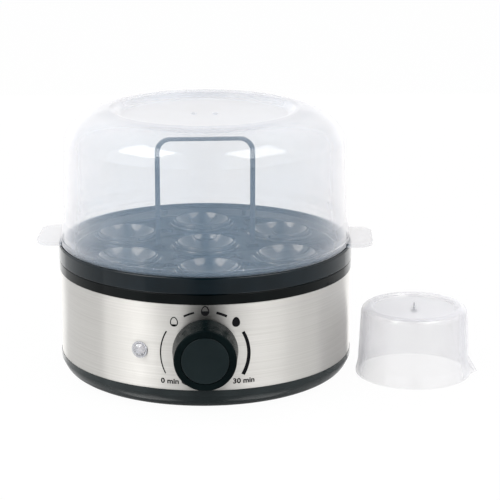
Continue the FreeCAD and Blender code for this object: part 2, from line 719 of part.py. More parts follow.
def thermal_fuse():
    """One-shot fuse in its sleeve, lying under the heat shield."""
    length = FUSE_LENGTH
    tube = turned([(0, 0, 0), (FUSE_RADIUS, 0, 0.6), (FUSE_RADIUS, length, 0.6), (0, length, 0)])
    tube.rotate(ORIGIN, Vec(0, 1, 0), 90)
    tube.translate(Vec(-length / 2, FUSE_OFFSET, SHIELD_HEIGHT - FUSE_CLIP_WALL - FUSE_RADIUS))
    return tube


def fuse_clip():
    """Bent strap that holds the fuse to the heat shield."""
    outer = FUSE_RADIUS + FUSE_CLIP_WALL
    axis_height = SHIELD_HEIGHT - FUSE_CLIP_WALL - FUSE_RADIUS
    loop = post(outer, -FUSE_CLIP_WIDTH / 2, FUSE_CLIP_WIDTH / 2)
    loop.rotate(ORIGIN, Vec(0, 1, 0), 90)
    loop.translate(Vec(0, FUSE_OFFSET, axis_height))
    foot = prism(rectangle(FUSE_CLIP_WIDTH, 4 * outer, 0.5), SHIELD_HEIGHT - FUSE_CLIP_WALL, SHIELD_HEIGHT)
    foot.translate(Vec(0, FUSE_OFFSET + outer, 0))
    bore = post(FUSE_RADIUS + 0.03, -FUSE_CLIP_WIDTH, FUSE_CLIP_WIDTH)
    bore.rotate(ORIGIN, Vec(0, 1, 0), 90)
    bore.translate(Vec(0, FUSE_OFFSET, axis_height))
    return cut(fused([loop, foot]), [bore])


# Knob

def knob_shell():
    """Hollow tapered knob with a pointer on its skirt and a D-shaped bore in its hub."""
    face_low = KNOB_FRONT - KNOB_FACE_WALL
    outer = turned([
        (0, KNOB_REAR, 0),
        (KNOB_REAR_RADIUS, KNOB_REAR, 0.5),
        (KNOB_FRONT_RADIUS, KNOB_FRONT, KNOB_FRONT_ROUND),
        (0, KNOB_FRONT, 0),
    ])
    hollow = turned([
        (0, KNOB_REAR - 1, 0),
        (KNOB_REAR_RADIUS - KNOB_WALL, KNOB_REAR - 1, 0),
        (KNOB_FRONT_RADIUS - KNOB_WALL, face_low, 1.0),
        (0, face_low, 0),
    ])
    hub = post(KNOB_HUB_RADIUS, KNOB_REAR + 0.4, face_low + 0.5)
    angle = math.radians(90 + POINTER_ANGLE)
    reach = POINTER_REACH - KNOB_REAR_RADIUS + KNOB_WALL
    pointer = prism(rectangle(reach, POINTER_WIDTH, 0.8), KNOB_REAR + 0.01, KNOB_REAR + POINTER_LENGTH)
    middle = POINTER_REACH - reach / 2
    pointer.rotate(ORIGIN, UP, math.degrees(angle))
    pointer.translate(Vec(middle * math.cos(angle), middle * math.sin(angle), 0))
    body = fused([cut(outer, [hollow]), hub, pointer])
    seat = post(KNOB_DISC_RADIUS + KNOB_DISC_GAP, KNOB_FRONT - KNOB_DISC_DEPTH, KNOB_FRONT + 1)
    bore = post(ARBOR_RADIUS + ARBOR_FIT, KNOB_REAR - 1, arbor_front())
    flat = prism([(-9, ARBOR_FLAT + ARBOR_FIT, 0), (9, ARBOR_FLAT + ARBOR_FIT, 0), (9, 9, 0), (-9, 9, 0)],
                 KNOB_REAR - 2, KNOB_FRONT)
    return facing_front(cut(body, [seat, cut(bore, [flat])]))


def arbor_front():
    """Distance of the arbor's front end from the cooker's axis."""
    return KNOB_FRONT - KNOB_FACE_WALL - 0.5


def knob_disc():
    """Disc let into the knob's face."""
    low = KNOB_FRONT - KNOB_DISC_DEPTH
    return facing_front(turned([
        (0, low, 0),
        (KNOB_DISC_RADIUS, low, 0),
        (KNOB_DISC_RADIUS, KNOB_FRONT, 0.4),
        (0, KNOB_FRONT, 0),
    ]))


def timer_arbor():
    """Arbor with its D-shaped front end and its cam seat behind the back plate."""
    rear = TIMER_BACK_FACE - CAM_THICKNESS - 1.5
    rod = post(ARBOR_RADIUS, rear, arbor_front() - 0.2)
    flat = prism([(-9, ARBOR_FLAT, 0), (9, ARBOR_FLAT, 0), (9, 9, 0), (-9, 9, 0)],
                 KNOB_REAR - 0.5, KNOB_FRONT)
    return facing_front(cut(rod, [flat]))


# Clockwork timer

def gear_blank(teeth):
    """Outline corners of a wheel whose first tooth points along +X."""
    pitch_radius = GEAR_MODULE * teeth / 2
    tip = pitch_radius + GEAR_MODULE
    root = pitch_radius - GEAR_ROOT_FACTOR * GEAR_MODULE
    step = 2 * math.pi / teeth
    half_pitch = (math.pi * GEAR_MODULE / 2 - GEAR_BACKLASH) / 2
    corners = []
    for index in range(teeth):
        middle = index * step
        for radius, half in ((root, half_pitch * 1.35), (tip, half_pitch * 0.42)):
            corners.append((radius, middle - half / radius, 0))
        for radius, half in ((tip, half_pitch * 0.42), (root, half_pitch * 1.35)):
            corners.append((radius, middle + half / radius, 0))
    return [(r * math.cos(a), r * math.sin(a), 0) for r, a, _ in corners]


def gear(teeth, level, thickness, turn):
    """Toothed wheel lying flat, its middle at a level, with a tooth pointing at the angle turn."""
    wheel = prism(gear_blank(teeth), level - thickness / 2, level + thickness / 2)
    wheel.rotate(ORIGIN, UP, turn)
    return wheel


def centre_distance(first, second):
    """Distance between the arbors of two wheels in mesh."""
    return GEAR_MODULE * (first + second) / 2 + GEAR_CENTRE_SLACK


def offset(angle, distance):
    """Vector in the plate's plane."""
    return Vec(distance * math.cos(math.radians(angle)), distance * math.sin(math.radians(angle)), 0)


def second_position():
    """Second arbor, from the knob axis, in the plate's plane."""
    return offset(SECOND_ANGLE, centre_distance(MAIN_TEETH, PINION_LEAVES))


def third_position():
    """Third arbor."""
    return second_position() + offset(THIRD_ANGLE, centre_distance(SECOND_TEETH, PINION_LEAVES))


def escape_position():
    """Escape arbor."""
    return third_position() + offset(ESCAPE_ANGLE, centre_distance(THIRD_TEETH, PINION_LEAVES))


def mesh_turn(angle):
    """Turn that puts a gap of a pinion towards the wheel it meshes with."""
    return angle + 180 + 180.0 / PINION_LEAVES


def window_outer(teeth):
    """Outer radius of a wheel's windows, inside its rim."""
    return GEAR_MODULE * teeth / 2 - GEAR_ROOT_FACTOR * GEAR_MODULE - GEAR_RIM


def windows(inner, outer, level, count, width):
    """Tool for the windows of a wheel: a ring less its spokes."""
    ring = cut(post(outer, level - 5, level + 5), [post(inner, level - 6, level + 6)])
    half = width / 2
    spokes = []
    for index in range(count):
        spoke = prism([(0, -half, 0), (outer + 1, -half, 0), (outer + 1, half, 0), (0, half, 0)],
                      level - 7, level + 7)
        spoke.rotate(ORIGIN, UP, 360.0 * index / count)
        spokes.append(spoke)
    return cut(ring, spokes)


def main_wheel():
    """Large wheel on the knob's arbor."""
    wheel = gear(MAIN_TEETH, MAIN_LEVEL, WHEEL_THICKNESS, SECOND_ANGLE)
    tool = windows(BARREL_RADIUS + WINDOW_MARGIN, window_outer(MAIN_TEETH), MAIN_LEVEL,
                   MAIN_SPOKE_COUNT, MAIN_SPOKE_WIDTH)
    return facing_front(cut(wheel, [tool, arbor_bore()]))


def arbor_bore():
    """Bore for a part fixed on the knob's arbor."""
    return post(ARBOR_RADIUS + 0.02, TIMER_BACK_FACE - 10, TIMER_FRONT_FACE + 10)


def spring_barrel():
    """Closed drum behind the main wheel that holds the mainspring."""
    front = MAIN_LEVEL - WHEEL_THICKNESS / 2
    drum = turned([
        (0, front - BARREL_DEPTH, 0),
        (BARREL_RADIUS, front - BARREL_DEPTH, 0.6),
        (BARREL_RADIUS, front, 0),
        (0, front, 0),
    ])
    return facing_front(cut(drum, [arbor_bore()]))


def switch_cam():
    """Cam on the arbor's rear end; its notch opens the contacts at the off position."""
    front = TIMER_BACK_FACE - 0.5
    disc = post(CAM_RADIUS, front - CAM_THICKNESS, front)
    notch = post(CAM_NOTCH / 2, front - CAM_THICKNESS - 1, front + 1, CAM_RADIUS)
    return facing_front(cut(disc, [notch, arbor_bore()]))


def wheel_set(position, pinion_level, wheel_level, pinion_angle, wheel_angle, teeth):
    """Pinion with its arbor, and the wheel fixed on it."""
    back = TIMER_BACK_FACE + 0.1
    front = TIMER_FRONT_FACE - 0.1
    rod = post(GEAR_ARBOR_RADIUS, back, front)
    pinion = gear(PINION_LEAVES, pinion_level, PINION_LENGTH, mesh_turn(pinion_angle))
    leaves = fused([rod, pinion])
    wheel = gear(teeth, wheel_level, WHEEL_THICKNESS, wheel_angle)
    tool = windows(GEAR_HUB_RADIUS, window_outer(teeth), wheel_level, SPOKE_COUNT, SPOKE_WIDTH)
    wheel = cut(cut(wheel, [tool]), [post(GEAR_ARBOR_RADIUS + 0.02, back, front)])
    result = []
    for shape in (leaves, wheel):
        shape.translate(position)
        result.append(facing_front(shape))
    return result


def escape_pinion():
    """Last pinion, whose arbor ends inside the escapement's case."""
    rod = post(GEAR_ARBOR_RADIUS, escape_case_front() - 1.5, THIRD_LEVEL + PINION_LENGTH)
    pinion = gear(PINION_LEAVES, THIRD_LEVEL, PINION_LENGTH, mesh_turn(ESCAPE_ANGLE))
    shape = fused([rod, pinion])
    shape.translate(escape_position())
    return facing_front(shape)


def escape_case_front():
    """Front face of the escapement's case."""
    return TIMER_BACK_FACE + PLATE_THICKNESS + ESCAPE_CASE_DEPTH


def escapement_case():
    """Closed case of the escapement on the back plate."""
    back = TIMER_BACK_FACE + PLATE_THICKNESS
    case = prism(rectangle(ESCAPE_CASE_SIZE, ESCAPE_CASE_SIZE, 1.5), back, escape_case_front())
    case = cut(case, [post(GEAR_ARBOR_RADIUS + ARBOR_FIT, escape_case_front() - 2, escape_case_front() + 1)])
    case.translate(escape_position())
    return facing_front(case)


def pillar_positions():
    """Corners where the timer's pillars stand."""
    x = PLATE_HALF_WIDTH - PILLAR_INSET
    return [(side * x, height) for side in (-1, 1)
            for height in (PLATE_BOTTOM + PILLAR_INSET, PLATE_TOP - PILLAR_INSET)]


def plate_blank(low):
    """One plate of the timer's frame."""
    x = PLATE_HALF_WIDTH
    return prism([(-x, PLATE_BOTTOM, PLATE_ROUND), (x, PLATE_BOTTOM, PLATE_ROUND),
                  (x, PLATE_TOP, PLATE_ROUND), (-x, PLATE_TOP, PLATE_ROUND)], low, low + PLATE_THICKNESS)


def plate_holes(low, high, positions):
    """Running holes for the knob's arbor and for the arbors given."""
    holes = [post(ARBOR_RADIUS + ARBOR_FIT, low, high)]
    for position in positions:
        holes.append(post(GEAR_ARBOR_RADIUS + ARBOR_FIT, low, high, position.x, position.y))
    return holes


def timer_front_plate():
    """Front plate with the two threaded spacers that meet the band."""
    low = TIMER_FRONT_FACE - PLATE_THICKNESS
    blank = plate_blank(low)
    spacer_top = math.sqrt(BAND_INNER ** 2 - (TIMER_SCREW_OFFSET + SPACER_RADIUS) ** 2) - 0.05
    spacers = [post(SPACER_RADIUS, low + 0.2, spacer_top, side * TIMER_SCREW_OFFSET) for side in (-1, 1)]
    tools = plate_holes(low - 1, TIMER_FRONT_FACE + 6, [second_position(), third_position()])
    for side in (-1, 1):
        tools.append(post(TIMER_SCREW_RADIUS + SCREW_CLEARANCE, low - 1, TIMER_FRONT_FACE + 9,
                          side * TIMER_SCREW_OFFSET))
    return facing_front(cut(fused([blank] + spacers), tools))


def timer_back_plate():
    """Back plate of the timer's frame."""
    blank = plate_blank(TIMER_BACK_FACE)
    tools = plate_holes(TIMER_BACK_FACE - 1, TIMER_BACK_FACE + 3, [second_position(), third_position()])
    return facing_front(cut(blank, tools))


def timer_pillars():
    """Four pillars between the plates."""
    low = TIMER_BACK_FACE + PLATE_THICKNESS
    high = TIMER_FRONT_FACE - PLATE_THICKNESS
    return [facing_front(post(PILLAR_RADIUS, low, high, x, z)) for x, z in pillar_positions()]


def timer_screws():
    """Two screws under the knob, through the band into the timer's spacers."""
    head_seat = BODY_RADIUS
    length = head_seat - (TIMER_FRONT_FACE - PLATE_THICKNESS)
    one = screw(TIMER_SCREW_HEAD_RADIUS, TIMER_SCREW_HEAD, TIMER_SCREW_RADIUS, length)
    one.rotate(ORIGIN, Vec(1, 0, 0), 180)
    one.translate(Vec(0, 0, head_seat))
    result = []
    for side in (-1, 1):
        copy = one.copy()
        copy.translate(Vec(side * TIMER_SCREW_OFFSET, 0, 0))
        result.append(facing_front(copy))
    return result


def contact_block():
    """Moulded block with the timer switch's contacts, behind the back plate."""
    near = CONTACT_BLOCK_NEAR
    far = CONTACT_BLOCK_FAR
    bottom = CONTACT_BLOCK_BOTTOM
    top = CONTACT_BLOCK_TOP
    block = prism([(near, bottom, 1), (far, bottom, 1), (far, top, 1), (near, top, 1)],
                  TIMER_BACK_FACE - CONTACT_BLOCK_DEPTH, TIMER_BACK_FACE)
    gap = LEAF_SLOT_CLEARANCE
    end = LEAF_ROOT + 0.1
    slots = []
    for height in leaf_heights():
        low = height - LEAF_THICKNESS / 2 - gap
        high = height + LEAF_THICKNESS / 2 + gap
        slots.append(prism([(near - 1, low, 0), (end, low, 0), (end, high, 0), (near - 1, high, 0)],
                           leaf_low() - gap, leaf_low() + LEAF_WIDTH + gap))
    return facing_front(cut(block, slots))


def leaf_low():
    """Rear edge of the contact leaves."""
    return TIMER_BACK_FACE - LEAF_SETBACK


def leaf_heights():
    """Heights of the two contact leaves above the knob axis."""
    upper = CAM_RADIUS + CONTACT_GAP + LEAF_THICKNESS / 2
    return (SHORT_LEAF_RISE - upper, upper)


def contact_leaves():
    """Two spring leaves; the upper one reaches over the cam."""
    short, long = leaf_heights()
    leaves = []
    for height, start in ((short, SHORT_LEAF_TIP), (long, LONG_LEAF_TIP)):
        low = height - LEAF_THICKNESS / 2
        high = height + LEAF_THICKNESS / 2
        leaf = prism([(start, low, 0), (LEAF_ROOT, low, 0), (LEAF_ROOT, high, 0), (start, high, 0)],
                     leaf_low(), leaf_low() + LEAF_WIDTH)
        leaves.append(facing_front(leaf))
    return leaves


def timer_bell():
    """Bell dome on its post behind the back plate."""
    depth = BELL_DEPTH
    inner = BELL_RADIUS - BELL_WALL
    dome = turned([
        (0, -depth, 0),
        (BELL_RADIUS * 0.7, -depth, 1.5),
        (BELL_RADIUS, -depth * 0.35, 2.0),
        (BELL_RADIUS, 0, 0),
        (inner, 0, 0),
        (inner, -depth * 0.3, 1.2),
        (BELL_RADIUS * 0.62, -depth + BELL_WALL, 1.0),
        (0, -depth + BELL_WALL, 0),
    ])
    stem = post(BELL_STEM_RADIUS, -depth + 0.1, BELL_STAND_OFF)
    shape = fused([dome, stem])
    shape.translate(Vec(BELL_X, BELL_Y, TIMER_BACK_FACE - BELL_STAND_OFF))
    return facing_front(shape)


# Indicator lamp

def at_lamp(shape):
    """Places a shape modelled along +Z at the lamp's hole."""
    copy = facing_front(shape, LENS_HEIGHT)
    copy.rotate(ORIGIN, UP, LENS_ANGLE)
    return copy


def indicator_lens():
    """Clear lens with a round flange, a six-sided jewel in front and a hollow barrel behind."""
    front = BODY_RADIUS + LENS_FLANGE
    flange = turned([
        (0, BODY_RADIUS, 0),
        (LENS_FLANGE_RADIUS, BODY_RADIUS, 0),
        (LENS_FLANGE_RADIUS, front, 0.5),
        (0, front, 0),
    ])
    wires = []
    top = front + LENS_JEWEL_HEIGHT
    for radius, height in ((LENS_JEWEL_RADIUS, front - 0.01), (LENS_JEWEL_TOP_RADIUS, top)):
        points = []
        for index in range(6):
            angle = math.radians(60 * index)
            points.append(Vec(radius * math.cos(angle), radius * math.sin(angle), height))
        wires.append(Part.makePolygon(points + [points[0]]))
    jewel = Part.makeLoft(wires, True, True)
    barrel = post(LENS_BARREL_RADIUS, BODY_RADIUS - LENS_BARREL_LENGTH, BODY_RADIUS + 0.1)
    hollow = post(LENS_BARREL_RADIUS - LENS_BARREL_WALL,
                  BODY_RADIUS - LENS_BARREL_LENGTH - 1, BODY_RADIUS - 1.0)
    return at_lamp(cut(fused([flange, jewel, barrel]), [hollow]))


def lens_retainer():
    """Push-on washer that holds the lens from inside the band."""
    high = BAND_INNER * math.cos(math.asin(RETAINER_RADIUS / BAND_INNER)) - 0.1
    ring = cut(post(RETAINER_RADIUS, high - RETAINER_THICKNESS, high),
               [post(LENS_BARREL_RADIUS + 0.05, high - 3, high + 3)])
    return at_lamp(ring)


def neon_lamp():
    """Small neon tube in the lens barrel."""
    front = BODY_RADIUS - 1.4
    tube = turned([
        (0, front - LAMP_LENGTH, 0),
        (LAMP_RADIUS, front - LAMP_LENGTH, 0.4),
        (LAMP_RADIUS, front, 2.0),
        (0, front, 0),
    ])
    return at_lamp(tube)


# Mains entry

def at_back(shape):
    """Places a shape modelled along +Z at the gland's hole in the back of the band."""
    copy = facing_front(shape, GLAND_HEIGHT)
    copy.rotate(ORIGIN, UP, 180)
    return copy


def cord_gland():
    """Flexible bush in the band, with its outer flange, tapered boot and inner retaining rings."""
    seat = BODY_RADIUS + 0.05
    outer_face = seat + GLAND_FLANGE_THICKNESS
    inner_seat = BAND_INNER * math.cos(math.asin(GLAND_FLANGE / BAND_INNER)) - 0.1
    inner_end = inner_seat - GLAND_INNER_LENGTH
    body = turned([
        (GLAND_BORE, inner_end, 0),
        (GLAND_NECK, inner_end, 0.5),
        (GLAND_FLANGE - 0.4, inner_seat - 1.2, 0),
        (GLAND_FLANGE - 0.4, inner_seat, 0),
        (GLAND_NECK, inner_seat, 0),
        (GLAND_NECK, seat, 0),
        (GLAND_FLANGE, seat, 0),
        (GLAND_FLANGE, outer_face, 0.6),
        (GLAND_NECK + 0.4, outer_face, 0.4),
        (GLAND_BOOT_END, outer_face + GLAND_BOOT_LENGTH, 0.5),
        (GLAND_BORE, outer_face + GLAND_BOOT_LENGTH, 0),
    ])
    return at_back(body)


def cord_clamp():
    """Bar that clamps the mains cord to the pan's two posts."""
    length = 2 * (CLAMP_SPAN + CLAMP_POST_RADIUS)
    bar = prism(rectangle(length, 2 * CLAMP_POST_RADIUS, CLAMP_POST_RADIUS - 0.01),
                clamp_seat(), clamp_seat() + CLAMP_BAR)
    bar.translate(Vec(0, CLAMP_DISTANCE, 0))
    holes = [post(CLAMP_SCREW_RADIUS + 0.15, clamp_seat() - 1, clamp_seat() + CLAMP_BAR + 1,
                  side * CLAMP_SPAN, CLAMP_DISTANCE) for side in (-1, 1)]
    return cut(bar, holes)


def clamp_screws():
    """Two screws of the cord clamp."""
    one = screw(BOWL_SCREW_HEAD_RADIUS, BOWL_SCREW_HEAD_HEIGHT, CLAMP_SCREW_RADIUS, CLAMP_SCREW_LENGTH)
    one.rotate(ORIGIN, Vec(1, 0, 0), 180)
    one.translate(Vec(0, CLAMP_DISTANCE, clamp_seat() + CLAMP_BAR))
    result = []
    for side in (-1, 1):
        copy = one.copy()
        copy.translate(Vec(side * CLAMP_SPAN, 0, 0))
        result.append(copy)
    return result


def terminal_block():
    """Screw terminal block on the pan's pad."""
    low = PAN_FLOOR + TERMINAL_PAD_HEIGHT
    high = low + TERMINAL_HEIGHT
    block = prism(rectangle(TERMINAL_LENGTH - 2, TERMINAL_DEPTH - 2, 0.8), low, high)
    tools = []
    pitch = (TERMINAL_LENGTH - 2) / TERMINAL_WAYS
    for index in range(TERMINAL_WAYS):
        x = (index - (TERMINAL_WAYS - 1) / 2) * pitch
        tools.append(post(TERMINAL_SCREW_WELL, high - TERMINAL_SCREW_WELL_DEPTH, high + 1, x))
        entry = post(TERMINAL_ENTRY, -TERMINAL_DEPTH, -TERMINAL_DEPTH / 2 + 5)
        entry.rotate(ORIGIN, Vec(1, 0, 0), -90)
        entry.translate(Vec(x, 0, low + TERMINAL_ENTRY_HEIGHT))
        tools.append(entry)
    block = cut(block, tools)
    block.translate(Vec(TERMINAL_X, TERMINAL_Y, 0))
    return block


# Egg tray

def cup_angles():
    """Angles of the outer cups; one stands at the front and one at the back."""
    return [30 + 360.0 * index / OUTER_CUPS for index in range(OUTER_CUPS)]


def gap_angles():
    """Angles of the gaps between the outer cups."""
    return [360.0 * index / OUTER_CUPS for index in range(OUTER_CUPS)]


def cup_sphere_radius():
    """Radius of the round hollow of a cup."""
    return (CUP_MOUTH_RADIUS ** 2 + CUP_DEPTH ** 2) / (2 * CUP_DEPTH)


def cup_outside():
    """Outer form of one cup: stepped wall above the plate, round underside below it."""
    bottom = CUP_RIM_HEIGHT - CUP_DEPTH - CUP_WALL
    ball = cup_sphere_radius() + CUP_WALL
    centre = bottom + ball
    join = TRAY_FLOOR - TRAY_PLATE
    join_radius = math.sqrt(ball ** 2 - (centre - join) ** 2)
    half = math.acos((centre - join) / ball) / 2
    dome_middle = Vec(ball * math.sin(half), 0, centre - ball * math.cos(half))
    dome = Part.Arc(Vec(0, 0, bottom), dome_middle, Vec(join_radius, 0, join)).toShape()
    corners = [
        Vec(join_radius, 0, join),
        Vec(CUP_FOOT_RADIUS, 0, join),
        Vec(CUP_FOOT_RADIUS, 0, TRAY_FLOOR + 0.25),
        Vec(CUP_STEP_RADIUS + 0.2, 0, TRAY_FLOOR + 0.5),
        Vec(CUP_STEP_RADIUS, 0, CUP_STEP_HEIGHT - 0.4),
        Vec(CUP_STEP_RADIUS - 0.4, 0, CUP_STEP_HEIGHT),
        Vec(CUP_RIM_RADIUS + 0.3, 0, CUP_STEP_HEIGHT + 0.1),
        Vec(CUP_RIM_RADIUS, 0, CUP_RIM_HEIGHT - 0.4),
        Vec(CUP_RIM_RADIUS - 0.4, 0, CUP_RIM_HEIGHT),
        Vec(0, 0, CUP_RIM_HEIGHT),
        Vec(0, 0, bottom),
    ]
    edges = [dome]
    for first, second in zip(corners, corners[1:]):
        edges.append(Part.LineSegment(first, second).toShape())
    return Part.Face(Part.Wire(edges)).revolve(ORIGIN, UP, 360)


def cup_hollow():
    """Round hollow of one cup, with a small lead-in at the rim."""
    ball = cup_sphere_radius()
    low = CUP_RIM_HEIGHT - CUP_DEPTH
    half = math.asin(CUP_MOUTH_RADIUS / ball) / 2
    bowl_middle = Vec(ball * math.sin(half), 0, low + ball - ball * math.cos(half))
    mouth = Vec(CUP_MOUTH_RADIUS, 0, CUP_RIM_HEIGHT)
    above = Vec(CUP_MOUTH_RADIUS, 0, CUP_RIM_HEIGHT + 3)
    axis_above = Vec(0, 0, CUP_RIM_HEIGHT + 3)
    edges = [
        Part.Arc(Vec(0, 0, low), bowl_middle, mouth).toShape(),
        Part.LineSegment(mouth, above).toShape(),
        Part.LineSegment(above, axis_above).toShape(),
        Part.LineSegment(axis_above, Vec(0, 0, low)).toShape(),
    ]
    return Part.Face(Part.Wire(edges)).revolve(ORIGIN, UP, 360)


def tray_rim():
    """Skirt, seat for the lid and stepped inner wall, with the plate inside it."""
    plate_low = TRAY_FLOOR - TRAY_PLATE
    return turned([
        (0, plate_low, 0),
        (TRAY_FLOOR_RADIUS + TRAY_RIM_WALL, plate_low, 0.8),
        (TRAY_STEP_RADIUS + 0.2, TRAY_STEP_HEIGHT - TRAY_RIM_WALL, 0),
        (TRAY_STEP_RADIUS + TRAY_RIM_WALL, LID_SEAT - TRAY_RIM_WALL, 0),
        (TRAY_RIM_INNER, LID_SEAT - TRAY_RIM_WALL, 0),
        (TRAY_RIM_INNER, COLLAR_TOP, 0),
        (TRAY_RADIUS, COLLAR_TOP, EDGE_ROUND),
        (TRAY_RADIUS, LID_SEAT, TRAY_RIM_ROUND),
        (LID_RIB_RADIUS, LID_SEAT, 0),
        (LID_RIB_RADIUS, LID_SEAT + LID_RIB_HEIGHT, 0.4),
        (TRAY_STEP_RADIUS, LID_SEAT + LID_RIB_HEIGHT, 0.4),
        (TRAY_STEP_RADIUS, TRAY_STEP_HEIGHT, 0),
        (TRAY_FLOOR_RADIUS + 1.0, TRAY_STEP_HEIGHT, 0.5),
        (TRAY_FLOOR_RADIUS, TRAY_FLOOR, 0.8),
        (0, TRAY_FLOOR, 0),
    ])


def leaf_vent(low, high):
    """Opening with two arcs that meet in a point at each end."""
    x = LEAF_VENT_LENGTH / 2
    y = LEAF_VENT_WIDTH / 2
    arcs = [
        Part.Arc(Vec(-x, 0, low), Vec(0, -y, low), Vec(x, 0, low)).toShape(),
        Part.Arc(Vec(x, 0, low), Vec(0, y, low), Vec(-x, 0, low)).toShape(),
    ]
    return placed(Part.Face(Part.Wire(arcs)).extrude(Vec(0, 0, high - low)), LEAF_VENT_RADIUS, 0)


def fan_vent(low, high):
    """Opening that widens from a blunt tip to an arc near the tray's wall."""
    half = math.radians(FAN_VENT_SPREAD / 2)
    end = FAN_VENT_END
    corner = Vec(end * math.cos(half), end * math.sin(half), low)
    mirror = Vec(corner.x, -corner.y, low)
    tip_high = Vec(FAN_VENT_START, FAN_VENT_TIP / 2, low)
    tip_low = Vec(FAN_VENT_START, -FAN_VENT_TIP / 2, low)
    edges = [
        Part.LineSegment(tip_low, mirror).toShape(),
        Part.Arc(mirror, Vec(end, 0, low), corner).toShape(),
        Part.LineSegment(corner, tip_high).toShape(),
        Part.LineSegment(tip_high, tip_low).toShape(),
    ]
    return Part.Face(Part.Wire(edges)).extrude(Vec(0, 0, high - low))


def tray_vents():
    """Steam openings in the six gaps; the handle's sockets take the place of two inner ones."""
    low = TRAY_FLOOR - TRAY_PLATE - 1
    high = TRAY_FLOOR + 1
    inner = prism(rectangle(INNER_VENT_SIZE, INNER_VENT_SIZE, INNER_VENT_ROUND), low, high)
    tools = []
    for angle in gap_angles():
        if angle % 180 != 0:
            tools.append(placed(inner, INNER_VENT_RADIUS, angle))
        for vent in (leaf_vent(low, high), fan_vent(low, high)):
            tools.append(placed(vent, 0, angle))
    return tools


def egg_tray():
    """Moulded tray with seven stepped cups, steam openings and the handle's sockets."""
    cups = [cup_outside()]
    hollows = [cup_hollow()]
    for angle in cup_angles():
        cups.append(placed(cup_outside(), CUP_PITCH_RADIUS, angle))
        hollows.append(placed(cup_hollow(), CUP_PITCH_RADIUS, angle))
    sockets = []
    bores = []
    size = HANDLE_LEG + 2 * HANDLE_FIT
    depth = HANDLE_DEPTH + 2 * HANDLE_FIT
    for side in (-1, 1):
        sockets.append(post(SOCKET_RADIUS, TRAY_FLOOR - TRAY_PLATE, TRAY_FLOOR + SOCKET_HEIGHT,
                            side * HANDLE_HALF_SPAN))
        bore = prism(rectangle(size, depth, HANDLE_EDGE), HANDLE_FOOT - 2, TRAY_FLOOR + SOCKET_HEIGHT + 1)
        bore.translate(Vec(side * HANDLE_HALF_SPAN, 0, 0))
        bores.append(bore)
    body = fused([cut(tray_rim(), tray_vents())] + cups + sockets)
    body = cut(body, hollows + bores)
    body.rotate(ORIGIN, UP, TRAY_TURN)
    return body


def tray_handle():
    """Upright bow for lifting the tray, its legs in the tray's sockets."""
    outer = HANDLE_HALF_SPAN + HANDLE_LEG / 2
    inner = HANDLE_HALF_SPAN - HANDLE_LEG / 2
    outline = rounded_wire([
        (-outer, HANDLE_FOOT, 0),
        (-inner, HANDLE_FOOT, 0),
        (-inner, HANDLE_TOP - HANDLE_BAR, HANDLE_CORNER - HANDLE_BAR),
        (inner, HANDLE_TOP - HANDLE_BAR, HANDLE_CORNER - HANDLE_BAR),
        (inner, HANDLE_FOOT, 0),
        (outer, HANDLE_FOOT, 0),
        (outer, HANDLE_TOP, HANDLE_CORNER),
        (-outer, HANDLE_TOP, HANDLE_CORNER),
    ])
    bow = Part.Face(outline).extrude(Vec(0, HANDLE_DEPTH, 0))
    bow.translate(Vec(0, -HANDLE_DEPTH / 2, 0))
    rims = [edge for edge in bow.Edges if abs(abs(edge.CenterOfMass.y) - HANDLE_DEPTH / 2) < 1e-6
            and edge.BoundBox.ZMax > HANDLE_FOOT + 0.01]
    bow = bow.makeFillet(HANDLE_EDGE, rims)
    bow.rotate(ORIGIN, UP, TRAY_TURN)
    return bow


# Lid

def lid_profile(inset, foot):
    """Points of the dome from its foot to the disc, moved inwards by an inset."""
    points = [
        Vec(LID_BAND_RADIUS - inset, 0, foot),
        Vec(LID_BAND_RADIUS - inset, 0, LID_BAND_TOP),
    ]
    flare = [(LID_FOOT_RADIUS - inset, LID_FLARE_TOP), (LID_SHOULDER_RADIUS - inset, LID_SHOULDER_HEIGHT)]
    return points, [Vec(r, 0, z) for r, z in flare]


def lid_surface_edges(inset, foot):
    """Edges of the dome's outline, from the foot to the axis."""
    points, flare = lid_profile(inset, foot)
    across = LID_SHOULDER_RADIUS - LID_CROWN_RADIUS - inset
    rise = LID_CROWN_HEIGHT - LID_SHOULDER_HEIGHT - inset
    ridge_part = (LID_RIDGE_RADIUS - LID_CROWN_RADIUS) / across
    last = math.acos(ridge_part)
    arc = []
    for index in range(9):
        angle = last * index / 8
        arc.append(Vec(LID_CROWN_RADIUS + across * math.cos(angle), 0,
                       LID_SHOULDER_HEIGHT + rise * math.sin(angle)))
    disc = LID_DISC_HEIGHT - inset
    ridge = arc[-1]
    fall = ridge.z - disc
    slope = [
        Vec(LID_DISC_RADIUS + 0.62 * (ridge.x - LID_DISC_RADIUS), 0, disc + 0.83 * fall),
        Vec(LID_DISC_RADIUS + 0.24 * (ridge.x - LID_DISC_RADIUS), 0, disc + 0.22 * fall),
        Vec(LID_DISC_RADIUS, 0, disc),
    ]
    shoulder = Part.BSplineCurve()
    shoulder.interpolate(arc)
    inward = Part.BSplineCurve()
    inward.interpolate([ridge] + slope)
    edges = [Part.LineSegment(points[0], points[1]).toShape()]
    edges.append(Part.LineSegment(points[1], flare[0]).toShape())
    edges.append(Part.LineSegment(flare[0], flare[1]).toShape())
    edges.append(shoulder.toShape())
    edges.append(inward.toShape())
    edges.append(Part.LineSegment(slope[-1], Vec(0, 0, disc)).toShape())
    return edges


def lid_blank(inset, foot):
    """Solid under the dome's outline."""
    edges = lid_surface_edges(inset, foot)
    edges.append(Part.LineSegment(Vec(0, 0, LID_DISC_HEIGHT - inset), Vec(0, 0, foot)).toShape())
    edges.append(Part.LineSegment(Vec(0, 0, foot), Vec(LID_BAND_RADIUS - inset, 0, foot)).toShape())
    return Part.Face(Part.Wire(edges)).revolve(ORIGIN, UP, 360)


